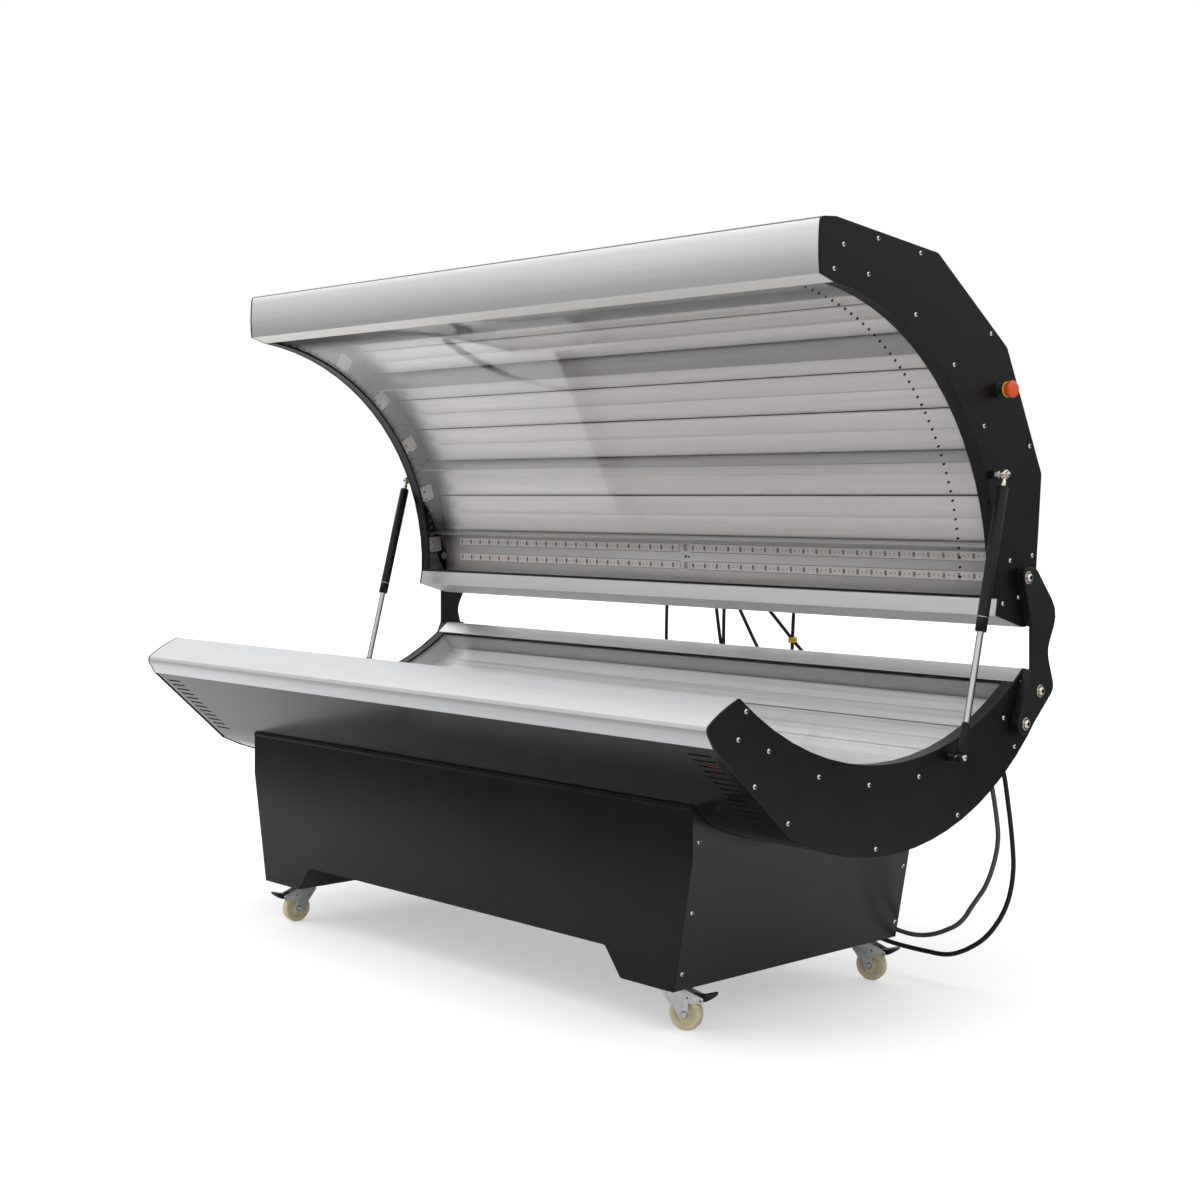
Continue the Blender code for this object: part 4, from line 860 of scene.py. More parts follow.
@dataclass
class Studio:
    """Camera, floor, world and soft lamps.

    Attributes:
        eye: Place of the camera.
        heading: Its turn about Z in degrees; it looks level.
        lens: Focal length in millimetres on a 36 mm frame.
        rise: Vertical shift of the frame.
        floor_half: Half the floor's size.
        floor_colour: Its colour.
        floor_lift: Light that it adds for rays of sight, near and far, so that it reads as white.
        lift_reach: Where the near light starts to grow and where the far light is reached.
        floor_far: Its colour far away, as gloss mirrors it.
        far_reach: How far in front or behind gloss starts to lose the floor, and where it has lost it.
        ambient: Strength of the world at the horizon and overhead, for what it lights.
        ambient_top: Rise of the rays at which the overhead strength is reached.
        mirrored: Strength of the world at the horizon and overhead, as gloss mirrors it.
        mirrored_top: Rise of the mirrored rays at which the overhead strength is reached.
        left_reach: Where the floor at the left is white to gloss too, and where that ends.
        left_share: Share of the added light that gloss mirrors there.
        lamps: The soft lamps.
    """

    eye: Triple = (3.67302, -3.23709, 1.17990)
    heading: float = 47.3613
    lens: float = 56.385
    rise: float = -0.08747
    floor_half: float = 40.0
    floor_colour: Colour = (0.76, 0.76, 0.76)
    floor_lift: Flat = (0.42, 0.55)
    lift_reach: Flat = (1.8, 5.0)
    floor_far: Colour = (0.13, 0.13, 0.13)
    far_reach: Flat = (1.1, 2.4)
    ambient: Flat = (0.55, 1.10)
    ambient_top: float = 0.75
    mirrored: Flat = (0.38, 1.12)
    mirrored_top: float = 0.38
    left_reach: Flat = (-2.0, -1.1)
    left_share: float = 0.7
    lamps: tuple[Lamp, ...] = (
        Lamp("overhead_softbox", (-0.4, -1.7, 4.2), (0.0, 0.0, 0.8), 3.0, 48.0, False),
        Lamp("front_softbox", (-2.0, -4.8, 1.1), (0.0, 0.2, 1.4), 2.2, 52.0, False),
        Lamp("right_softbox", (4.8, -2.0, 2.4), (0.6, 0.0, 0.8), 2.0, 4.0, True))

    def build(self) -> None:
        """Set up the whole studio."""
        self.camera()
        self.world()
        self.floor()
        for lamp in self.lamps:
            lamp.hang()
        bpy.context.scene.view_settings.view_transform = "Standard"
        LOG.info("studio set up")

    def camera(self) -> None:
        """The camera at the photograph's place."""
        data = bpy.data.cameras.new("camera")
        data.lens = self.lens
        data.sensor_width = 36.0
        data.shift_y = self.rise
        made = bpy.data.objects.new("camera", data)
        made.location = self.eye
        made.rotation_euler = (math.pi / 2, 0.0, math.radians(self.heading))
        bpy.context.scene.collection.objects.link(made)
        bpy.context.scene.camera = made

    @staticmethod
    def combined(tree: Tree, how: str, one: Socket, two: Socket) -> Socket:
        """Two values put together.

        Args:
            tree: Node tree.
            how: The operation.
            one: First value.
            two: Second value.

        Returns:
            The result.
        """
        return add_node(tree, "Math", {0: one, 1: two}, how).outputs["Value"]

    @staticmethod
    def ramp(tree: Tree, value: Socket, reach: Flat, ends: Flat) -> Socket:
        """A value that passes smoothly from one end to the other.

        Args:
            tree: Node tree.
            value: What it follows.
            reach: Where the passage starts and ends.
            ends: First and last result.

        Returns:
            The result.
        """
        limits = dict(zip(("From Min", "From Max", "To Min", "To Max"), reach + ends))
        made = add_node(tree, "MapRange", {"Value": value, **limits})
        made.interpolation_type = "SMOOTHSTEP"
        return made.outputs["Result"]

    def sight(self, tree: Tree, rays: Node) -> Socket:
        """A value that is 1 for rays of sight, through clear pieces too."""
        seen = (rays.outputs[f"Is {kind} Ray"] for kind in ("Camera", "Transmission"))
        return self.combined(tree, "MAXIMUM", *seen)

    def world(self) -> None:
        """A world that is white to the eye and lights more from overhead than from the sides."""
        made = bpy.data.worlds.new("white_studio")
        bpy.context.scene.world = made
        tree = empty_tree(made)
        rays = add_node(tree, "LightPath")
        way = add_node(tree, "TexCoord")
        axes = add_node(tree, "SeparateXYZ", {"Vector": way.outputs["Generated"]})
        tones = ((self.ambient_top, self.ambient), (self.mirrored_top, self.mirrored))
        strengths = [self.ramp(tree, axes.outputs["Z"], (0.0, top), ends) for top, ends in tones]
        light, mirrored, seen = (
            add_node(tree, "Background", {"Color": WHITE, "Strength": strength}).outputs["Background"]
            for strength in (*strengths, 1.0))
        for chosen, other in ((rays.outputs["Is Glossy Ray"], mirrored), (self.sight(tree, rays), seen)):
            light = add_node(tree, "MixShader", {"Fac": chosen, 1: light, 2: other}).outputs["Shader"]
        add_node(tree, "OutputWorld", {"Surface": light})

    def floor(self) -> None:
        """A white floor that keeps the object's shadow."""
        made = bpy.data.materials.new("white_floor")
        tree = empty_tree(made)
        matt, far = (add_node(tree, "BsdfDiffuse", {"Color": (*tone, 1.0)}).outputs["BSDF"]
                     for tone in (self.floor_colour, self.floor_far))
        place = add_node(tree, "TexCoord").outputs["Object"]
        away = add_node(tree, "VectorMath", {0: place}, "LENGTH")
        axes = add_node(tree, "SeparateXYZ", {"Vector": place})
        depth = add_node(tree, "Math", {0: axes.outputs["Y"]}, "ABSOLUTE")
        rays = add_node(tree, "LightPath")
        gloss = rays.outputs["Is Glossy Ray"]
        strip = self.ramp(tree, axes.outputs["X"], self.left_reach, (self.left_share, 0.0))
        left = self.combined(tree, "MULTIPLY", gloss, strip)
        lift = self.ramp(tree, away.outputs["Value"], self.lift_reach, self.floor_lift)
        lifted = self.combined(tree, "MAXIMUM", self.sight(tree, rays), left)
        strength = self.combined(tree, "MULTIPLY", lifted, lift)
        glow = add_node(tree, "Emission", {"Color": WHITE, "Strength": strength})
        both = add_node(tree, "AddShader", {0: matt, 1: glow.outputs["Emission"]})
        lost = self.ramp(tree, depth.outputs["Value"], self.far_reach, (0.0, 1.0))
        share = self.combined(tree, "MULTIPLY", gloss, lost)
        mix = add_node(tree, "MixShader", {"Fac": share, 1: both.outputs["Shader"], 2: far})
        add_node(tree, "OutputMaterial", {"Surface": mix.outputs["Shader"]})
        half = self.floor_half
        shape = Shape()
        shape.sheet([[Vector((x, y, 0.0)) for x in (-half, half)] for y in (-half, half)])
        plane = shape.build("studio_floor")
        plane.data.materials.append(made)


# Cords and cables

@dataclass
class Cords:
    """The two cords that hang at the right rear, and the cables between canopy and bed.

    Attributes:
        radius: Of a hanging cord.
        cable_radius: Of a rear cable.
        gland: Length of the moulded gland that a cord leaves.
        lead: Straight stretch at each end of a cord.
        skin: How far the under panel lies inside the belly's round.
        gap: Play between the end of a rear cable and the face that it leaves.
        panel_out: Outer face of the base's rear panel, behind its floor.
        exits: Where the cords leave the belly, as (x, y).
        entries: Where they go into the base's rear panel, as (x, z).
        routes: Points that each cord passes.
        step: Distance between the points of a cord's line.
        fine_steps: Steps between two points of a route, before the line is evened out.
        relief: Length, foot radius and tip radius of the sleeve on a cord.
        relief_ribs: Ribs along it.
        tail: Two points of the canopy's back where the cables leave it, as (y, z).
        cable_top: Height at which they leave it.
        cable_low: Where they go into the bed's back, as (y, z).
        cable_lead: Straight stretch at each end of a cable.
        cable_step: Distance between the points of a cable's line.
        cable_run: Points between, as (share of the way along the bed, y, z).
        cables: Name of each cable, its x at canopy and bed, and the CAD node that it stands for.
        tied: How many of the last cables are tied.
        tie_point: Point of the run where they are tied.
        tie_radius: Of the tie.
        tie_height: Of the tie.
        tie_turns: Turns of the tie.
    """

    radius: float = 0.0058
    cable_radius: float = 0.0048
    gland: float = 0.0143
    lead: float = 0.020
    skin: float = 0.002
    gap: float = 0.0003
    panel_out: float = 0.0033
    exits: tuple[Flat, ...] = ((1.045, 0.452), (1.016, 0.424))
    entries: tuple[Flat, ...] = ((0.545, 0.205), (0.690, 0.1225))
    routes: tuple[tuple[Triple, ...], ...] = (
        ((1.048, 0.483, 0.508), (1.051, 0.488, 0.468), (1.057, 0.493, 0.404), (1.058, 0.502, 0.332),
         (1.058, 0.502, 0.282), (1.050, 0.497, 0.225), (1.028, 0.492, 0.172), (0.990, 0.482, 0.120),
         (0.939, 0.470, 0.084), (0.894, 0.462, 0.068), (0.846, 0.460, 0.066), (0.800, 0.460, 0.066),
         (0.752, 0.461, 0.067), (0.700, 0.463, 0.071), (0.655, 0.465, 0.0785), (0.622, 0.466, 0.089),
         (0.601, 0.466, 0.110), (0.586, 0.466, 0.136), (0.570, 0.466, 0.1625), (0.5523, 0.4517, 0.1926)),
        ((1.028, 0.458, 0.490), (1.037, 0.468, 0.404), (1.033, 0.476, 0.356), (1.018, 0.481, 0.303),
         (0.995, 0.481, 0.247), (0.964, 0.476, 0.200), (0.930, 0.467, 0.150), (0.876, 0.463, 0.119),
         (0.832, 0.465, 0.104), (0.790, 0.467, 0.098), (0.750, 0.466, 0.100), (0.715, 0.456, 0.110),
         (0.698, 0.440, 0.1175)),
    )
    step: float = 0.030
    fine_steps: int = 16
    relief: Triple = (0.024, 0.0096, 0.0068)
    relief_ribs: int = 5
    tail: tuple[Flat, Flat] = ((0.500, 0.864), (0.536, 1.000))
    cable_top: float = 0.945
    cable_low: Flat = (0.538, 0.695)
    cable_lead: float = 0.010
    cable_step: float = 0.011
    cable_run: tuple[Triple, ...] = (
        (0.0, 0.5561, 0.9251), (0.0, 0.5665, 0.8946), (0.32, 0.5730, 0.8430), (0.6555, 0.5798, 0.7890),
        (1.0, 0.5868, 0.7335), (1.0, 0.5755, 0.7063))
    cables: tuple[tuple[str, Flat, str], ...] = (
        ("rear_lead_1", (-0.1730, -0.1978), "rear_cable_1"),
        ("rear_lead_2", (0.0180, 0.0254), "rear_cable_2"),
        ("rear_lead_2_twin", (0.0531, 0.0306), ""), ("rear_lead_3", (0.0935, 0.1768), "rear_cable_3"),
        ("tied_lead_1", (0.1922, 0.3500), "tied_cables"), ("tied_lead_2", (0.3119, 0.2848), ""))
    tied: int = 2
    tie_point: int = 3
    tie_radius: float = 0.0125
    tie_height: float = 0.016
    tie_turns: int = 3

    def build(self) -> None:
        """Lay all cords and cables."""
        looks = (("power_cord", CORD_BLACK, Slot.BLACK_CORD), ("lamp_cord", CORD_GREY, Slot.GREY_CORD))
        for number, (node, finish, slot) in enumerate(looks):
            self.hanging_cord(number, node, finish, slot)
        for name, ends, node in self.cables:
            self.rear_cable(name, ends, node)
        self.tie()

    def smooth(self, points: Sequence[Vector], step: float) -> list[Vector]:
        """A smooth line through points, at even steps, straight at both ends.

        Args:
            points: Points of the route.
            step: Distance between the points of the line.

        Returns:
            The points of the line.
        """
        fine: list[Vector] = []
        for a, b, c, d in zip(points, points[1:], points[2:], points[3:]):
            for k in range(self.fine_steps):
                t = k / self.fine_steps
                fine.append(0.5 * (2 * b + (c - a) * t + (2 * a - 5 * b + 4 * c - d) * t * t
                                   + (3 * b - a - 3 * c + d) * t ** 3))
        fine.append(points[-2])
        lengths = [0.0]
        for a, b in zip(fine, fine[1:]):
            lengths.append(lengths[-1] + (b - a).length)
        count = max(3, round(lengths[-1] / step))
        even, at = [], 0
        for i in range(count + 1):
            goal = lengths[-1] * i / count
            while at < len(fine) - 2 and lengths[at + 1] < goal:
                at += 1
            share = (goal - lengths[at]) / (lengths[at + 1] - lengths[at])
            even.append(fine[at].lerp(fine[at + 1], share))
        return [points[0]] + even + [points[-1]]

    def belly_exit(self, number: int) -> tuple[Vector, Vector]:
        """Where a cord leaves the belly, and which way."""
        x, y = self.exits[number]
        reach = y - BELLY.centre[0]
        drop = math.sqrt(BELLY.radius ** 2 - reach ** 2)
        out = Vector((0, reach, -drop)).normalized()
        return Vector((x, y, BELLY.centre[1] - drop)) - out * self.skin, out

    def hanging_cord(self, number: int, node: str, finish: Finish, slot: Slot) -> None:
        """Hang one cord from the belly to the base's rear panel.

        Args:
            number: Which of the two.
            node: Its CAD node.
            finish: Its finish.
            slot: Its material slot.
        """
        leave, out = self.belly_exit(number)
        leave = leave + out * self.gland
        x, z = self.entries[number]
        back = Vector((0, 1, 0))
        enter = Vector((x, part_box("base_floor")[1].y + self.panel_out + self.gland, z))
        points = [leave, leave + out * self.lead]
        points += [Vector(p) for p in self.routes[number]]
        points += [enter + back * self.lead, enter]
        line = self.smooth(points, self.step)
        shape = bpy.data.curves.new(f"{node}_line", "CURVE")
        shape.dimensions = "3D"
        shape.bevel_depth = self.radius
        shape.bevel_resolution = 5
        shape.resolution_u = 6
        shape.use_fill_caps = True
        spline = shape.splines.new("BEZIER")
        spline.bezier_points.add(len(line) - 1)
        for knot, point in zip(spline.bezier_points, line):
            knot.co = point
            knot.handle_left_type = knot.handle_right_type = "AUTO"
        shape.materials.append(material_of(finish))
        cord = bpy.data.objects.new(f"{node}_flex", shape)
        bpy.context.scene.collection.objects.link(cord)
        fasten(cord, Body.BED.value, slot, node)
        sleeves = [self.strain_relief(f"{node}_relief_out", leave, out, finish, slot),
                   self.strain_relief(f"{node}_relief_in", enter, back, finish, slot)]

    def strain_relief(self, name: str, point: Vector, way: Vector, finish: Finish, slot: Slot) -> Piece:
        """A tapered, ribbed sleeve on a cord where it leaves a gland.

        Args:
            name: Name of the piece.
            point: Where it starts.
            way: Which way it points.
            finish: Its finish.
            slot: Its material slot.

        Returns:
            The sleeve.
        """
        length, foot, tip = self.relief
        bore = self.radius * 0.98
        profile: list[Flat] = [(bore, -0.001), (foot, -0.001)]
        for i in range(self.relief_ribs):
            for share, inset in ((0.0, 0.0), (0.62, 0.0), (0.66, 0.0009), (0.94, 0.0009)):
                t = (i + share) / self.relief_ribs
                profile.append((foot + (tip - foot) * t - inset, length * t))
        profile += [(tip, length), (bore, length)]
        shape = Shape().use(finish).turned(profile, along(point, way), 20)
        return shape.fit(name, Body.BED.value, slot)

    def cable_points(self, ends: Flat) -> list[Vector]:
        """Points of a rear cable: out of the canopy's back, down behind the rails, into the bed's back.

        Args:
            ends: Its x at the canopy and at the bed.

        Returns:
            The points from the canopy down.
        """
        low, high = (Vector(p) for p in self.tail)
        rise = (high - low).normalized()
        out = Vector((rise.y, -rise.x))
        top = low.lerp(high, (self.cable_top - low.y) / (high.y - low.y)) + out * (self.gap - self.skin)
        start = Vector((ends[0], *top))
        stop = Vector((ends[1], self.cable_low[0] + self.gap, self.cable_low[1]))
        run = [Vector((ends[0] + (ends[1] - ends[0]) * share, y, z)) for share, y, z in self.cable_run]
        return [start, start + Vector((0, *out)) * self.cable_lead, *run,
                stop + Vector((0, self.cable_lead, 0)), stop]

    def rear_cable(self, name: str, ends: Flat, node: str) -> None:
        """Run one cable from the canopy to the bed.

        Args:
            name: Name of the piece.
            ends: Its x at the canopy and at the bed.
            node: The CAD node that it stands for, or nothing.
        """
        line = self.smooth(self.cable_points(ends), self.cable_step)
        made = Shape().use(CORD_BLACK).tube(line, self.cable_radius).build(name)
        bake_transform(made)
        if node:
            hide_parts(node)
        LOG.info("%s between canopy and bed", name)

    def tie(self) -> None:
        """The yellow tie where the last two cables cross."""
        at = self.tie_point + 2
        spots = [self.cable_points(ends)[at] for name, ends, node in self.cables[-self.tied:]]
        middle = sum(spots, Vector()) / self.tied
        pitch = self.tie_height / self.tie_turns
        profile: list[Flat] = [(0.0, 0.0)]
        for i in range(self.tie_turns):
            for share, swell in ((0.08, 0.9), (0.3, 1.0), (0.7, 1.0), (0.92, 0.9)):
                profile.append((self.tie_radius * swell, pitch * (i + share)))
        profile.append((0.0, self.tie_height))
        place = Matrix.Translation(middle - Vector((0, 0, self.tie_height / 2)))
        shape = Shape().use(TIE_YELLOW).turned(profile, place, 24)
        shape.fit("cable_tie", Body.BED.value, Slot.BLACK_CORD)


# Screws

@dataclass
class Screws:
    """Button-head screws and the large hinge bolts.

    Attributes:
        radius: Of a screw's head.
        height: Of its head.
        key: Radius of its hexagon socket.
    """

    radius: float = 0.0056
    height: float = 0.0032
    key: float = 0.0029

    def head(self, shape: Shape, place: Matrix, scale: float = 1.0, steps: int = 20) -> None:
        """Add one head with its socket.

        Args:
            shape: Shape it goes into.
            place: Its frame, with Z out of the plate.
            scale: Factor on its size.
            steps: Sides of the head.
        """
        r, h, k = self.radius * scale, self.height * scale, self.key * scale
        dome = [(r, -0.0004), (r, 0.18 * h), (0.93 * r, 0.48 * h), (0.78 * r, 0.76 * h), (0.6 * r, 0.94 * h),
                (1.12 * k, h), (k, 0.97 * h)]
        shape.use(NICKEL).turned(dome, place, steps)
        # The socket's recess is dark: painted shade.
        well = [(k, 0.97 * h), (0.94 * k, 0.40 * h), (0.0, 0.34 * h)]
        shape.use(SOCKET_DARK).turned(well, place, 6)

    def row(self, name: str, places: Iterable[Matrix], body: str) -> None:
        """Build a set of screws as one piece.

        Args:
            name: Name of the piece.
            places: Their frames.
            body: Their body.
        """
        shape = Shape()
        for place in places:
            self.head(shape, place)
        shape.fit(name, body, Slot.NICKEL)


# Ends of bed and canopy

@dataclass
class EndPlates:
    """The black end plates of bed and canopy, with their screws.

    Attributes:
        screws: The screws to use.
        edge: Rounding of the plates' edges.
        bed_screws: Places of the bed's screws as (y, z).
        canopy_screws: Places of the canopy's screws.
    """

    screws: Screws
    edge: float = 0.0007
    bed_screws: tuple[Flat, ...] = (
        (-0.470, 0.746), (-0.493, 0.691), (-0.403, 0.660), (-0.248, 0.592), (-0.445, 0.592), (-0.344, 0.506),
        (-0.084, 0.558), (0.088, 0.559), (0.228, 0.458), (-0.062, 0.418), (0.475, 0.742), (0.404, 0.663),
        (0.447, 0.593))
    canopy_screws: tuple[Flat, ...] = (
        (-0.168, 1.710), (-0.199, 1.656), (-0.053, 1.733), (-0.086, 1.653), (0.094, 1.714), (0.077, 1.577),
        (0.216, 1.473), (0.356, 1.551), (0.329, 1.338), (0.508, 1.295), (0.430, 1.027), (0.518, 1.037),
        (0.401, 0.928), (0.463, 0.941))

    def build(self) -> None:
        """Build both ends of both halves."""
        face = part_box("bed_end_right")[1].x
        for side in Side:
            for body, places in ((Body.BED, self.bed_screws), (Body.CANOPY, self.canopy_screws)):
                node = f"{body.value}_end_{side.word}"
                made = refine(node, f"{node}_plate", SATIN_BLACK, body.value, Slot.BLACK_SHEET, self.edge)
                if body is Body.BED:
                    CROWN.apply(made)
                frames = [out_of_end(side, face, y, z) for y, z in places]
                self.screws.row(f"{body.value}_screws_{side.word}", frames, body.value)


@dataclass
class EndLiners:
    """Grey liners inside the ends, with the small brackets and rivets on them.

    Attributes:
        thickness: Of a liner.
        brackets: Angles of the brackets about the canopy's round.
        bracket: Side of a bracket.
        bracket_round: Radius of its corners.
        bracket_height: Its thickness.
        bracket_out: Its middle, outside the canopy's round.
        rivet_inset: Distance of its rivets from its edges.
        rivets: Angles of the rivets between the brackets.
        rivet_rows: Their two rows, outside the canopy's round.
        canopy_span: Angles over which a canopy liner reaches.
        canopy_depth: Its near and far edge, outside the round.
        bed_span: Angles over which a bed liner reaches.
        bed_depth: Its near and far edge, outside the round.
        strap: Outline of the black strap from the strut's bolt to the hinge, as (y, z).
        strap_height: Its thickness.
        foot_rivets: Rivets beside the hinge.
    """

    thickness: float = 0.0015
    brackets: tuple[float, ...] = (59.5, 45.1, 31.2, 17.8, 4.5)
    bracket: float = 0.046
    bracket_round: float = 0.006
    bracket_height: float = 0.0028
    bracket_out: float = 0.0484
    rivet_inset: float = 0.008
    rivets: tuple[float, ...] = (66.4, 63.6, 53.6, 51.8, 40.0, 37.9, 35.8, 26.4, 13.2, 11.4)
    rivet_rows: Flat = (0.052, 0.070)
    canopy_span: Flat = (-1.9, 82.2)
    canopy_depth: Flat = (SHEET_FAR + 0.001, 0.0958)
    bed_span: Flat = (-128.2, -53.7)
    bed_depth: Flat = (SHEET_FAR + 0.001, 0.0765)
    strap: tuple[Flat, ...] = ((0.352, 1.168), (0.386, 1.174), (0.508, 0.945), (0.474, 0.935))
    strap_height: float = 0.0016
    foot_rivets: tuple[Flat, ...] = (
        (0.420, 0.988), (0.436, 0.987), (0.420, 0.960), (0.438, 0.960), (0.456, 0.960))

    def build(self) -> None:
        """Line both ends of both halves."""
        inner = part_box("canopy_front_rail")[1].x
        tray_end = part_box("bed_led_tray")[1].x
        for side in Side:
            hollow = HOLLOW.sector(*self.canopy_span, *self.canopy_depth)
            self.panel(f"canopy_liner_{side.word}", side, hollow, inner, Body.CANOPY)
            trough = TROUGH.sector(*self.bed_span, *self.bed_depth)
            self.panel(f"bed_liner_{side.word}", side, trough, tray_end, Body.BED)
            self.fittings(side, inner - self.thickness)

    def panel(self, name: str, side: Side, outline: Sequence[Flat], x: float, body: Body) -> None:
        """Add one liner.

        Args:
            name: Name of the piece.
            side: Which end.
            outline: Its outline as (y, z).
            x: Distance of its back from the middle of the bed.
            body: Its body.
        """
        ends = sorted((side.value * x, side.value * (x - self.thickness)))
        Shape().use(LINER_GREY).prism(outline, *ends).fit(name, body.value, Slot.BLACK_SHEET)

    def fittings(self, side: Side, x: float) -> None:
        """Add brackets and rivets to a canopy liner.

        Args:
            side: Which end.
            x: Distance of the liner's face from the middle of the bed.
        """
        shape = Shape()
        for angle in self.brackets:
            y, z = HOLLOW.at(angle, self.bracket_out)
            turn = Matrix.Rotation(math.radians(angle), 4, "X")
            facing = Matrix.Translation((side.value * x, y, z)) @ turn @ SWEEP_X
            ends = sorted((0.0, -side.value * self.bracket_height))
            outline = box_outline(self.bracket, self.bracket, self.bracket_round)
            shape.use(BRACKET_METAL).prism(outline, *ends, facing)
            inset = self.bracket / 2 - self.rivet_inset
            for u in (-inset, inset):
                for v in (-inset, inset):
                    self.rivet(shape, side, facing @ Vector((u, v, -side.value * self.bracket_height)))
        spots = [HOLLOW.at(angle, self.rivet_rows[i % 2]) for i, angle in enumerate(self.rivets)]
        for y, z in spots + list(self.foot_rivets):
            self.rivet(shape, side, Vector((side.value * x, y, z)))
        ends = sorted((side.value * x, side.value * (x - self.strap_height)))
        shape.use(GASKET_AND_HOLE_SHADE).prism(self.strap, *ends)
        shape.fit(f"canopy_brackets_{side.word}", Body.CANOPY.value, Slot.SILVER_RAIL)

    @staticmethod
    def rivet(shape: Shape, side: Side, point: Vector) -> None:
        """Add a small dome that points into the bed."""
        dome = [(0.0026, -0.0002), (0.0024, 0.0007), (0.0015, 0.0012), (0.0, 0.0014)]
        shape.use(NICKEL).turned(dome, along(point, (-side.value, 0, 0)), 10)


# Rails

@dataclass
class Rails:
    """The four silver rails and the dark strips beside the clear sheets.

    Attributes:
        edge: Rounding of the rails' edges.
        lap_rise: Least rise of the faces of the canopy's front rail that count as its top edge.
        lap_depth: How far below its highest point they lie at most.
        lip_fall: Most rise of the faces that count as its lip.
        sill_strip: Angles of the dark strip over the canopy's rear rail.
        sill_depth: Its near and far face, outside the canopy's round.
        rear_strip: Angles of the dark strip along the bed's rear rail.
        rear_depth: Its near and far face, outside the bed's round.
        strip_short: How far both stop short of the rails' ends.
        top_seal: Outline of the seal between the canopy's front rail and its back cover, as (y, z).
    """

    edge: float = 0.0010
    lap_rise: float = 0.62
    lap_depth: float = 0.020
    lip_fall: float = -0.60
    sill_strip: Flat = (-2.32, -1.86)
    sill_depth: Flat = (0.0008, 0.0105)
    rear_strip: Flat = (-53.80, -53.60)
    rear_depth: Flat = (0.0012, 0.0100)
    strip_short: float = 0.030
    top_seal: tuple[Flat, ...] = ((-0.1774, 1.7560), (-0.1690, 1.7560), (-0.1690, 1.7593),
                                  (-0.1723, 1.7597), (-0.1720, 1.7624), (-0.1776, 1.7594))

    def build(self) -> None:
        """Dress rails and strips."""
        rails = (("bed_front_rail", Body.BED, RAIL_SILVER, CROWN.apply),
                 ("bed_rear_rail", Body.BED, ANODISED, None),
                 ("canopy_front_rail", Body.CANOPY, ANODISED, self.fascia_edges),
                 ("canopy_rear_rail", Body.CANOPY, SHADED_SILL_SILVER, self.sill_shade))
        for node, body, finish, touch in rails:
            made = refine(node, f"{node}_extrusion", finish, body.value, Slot.SILVER_RAIL, self.edge)
            if touch:
                touch(made)
        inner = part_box("canopy_front_rail")[1].x - self.strip_short
        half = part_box("canopy_back_cover")[1].x
        sill = HOLLOW.sector(*self.sill_strip, *self.sill_depth, 0.2)
        rear = TROUGH.sector(*self.rear_strip, *self.rear_depth, 0.2)
        strips = (("canopy_sill_strip", Body.CANOPY, sill, inner, 0.0008),
                  ("canopy_top_seal", Body.CANOPY, self.top_seal, half, 0.0003),
                  ("bed_rear_strip", Body.BED, rear, inner, 0.0006))
        for name, body, outline, reach, soft in strips:
            shape = Shape().use(GASKET_AND_HOLE_SHADE).prism(outline, -reach, reach).soften(soft)
            shape.fit(name, body.value, Slot.BLACK_SHEET)

    def fascia_edges(self, rail: Piece) -> None:
        """Give the lapped top and the lip of the canopy's front rail their own tones."""
        for finish in (EDGE_GREY, LIP_SILVER):
            rail.data.materials.append(material_of(finish))
        top = max(v.co.z for v in rail.data.vertices)
        for face in rail.data.polygons:
            if face.normal.z > self.lap_rise and face.center.z > top - self.lap_depth:
                face.material_index = 1
            elif face.normal.z < self.lip_fall:
                face.material_index = 2

    def sill_shade(self, rail: Piece) -> None:
        """Paint shade onto the under face of the canopy's rear rail, as a darker silver."""
        rail.data.materials.append(material_of(SHADED_UNDER_SILVER))
        for face in rail.data.polygons:
            if face.normal.z < self.lip_fall:
                face.material_index = 1


# Clear sheets

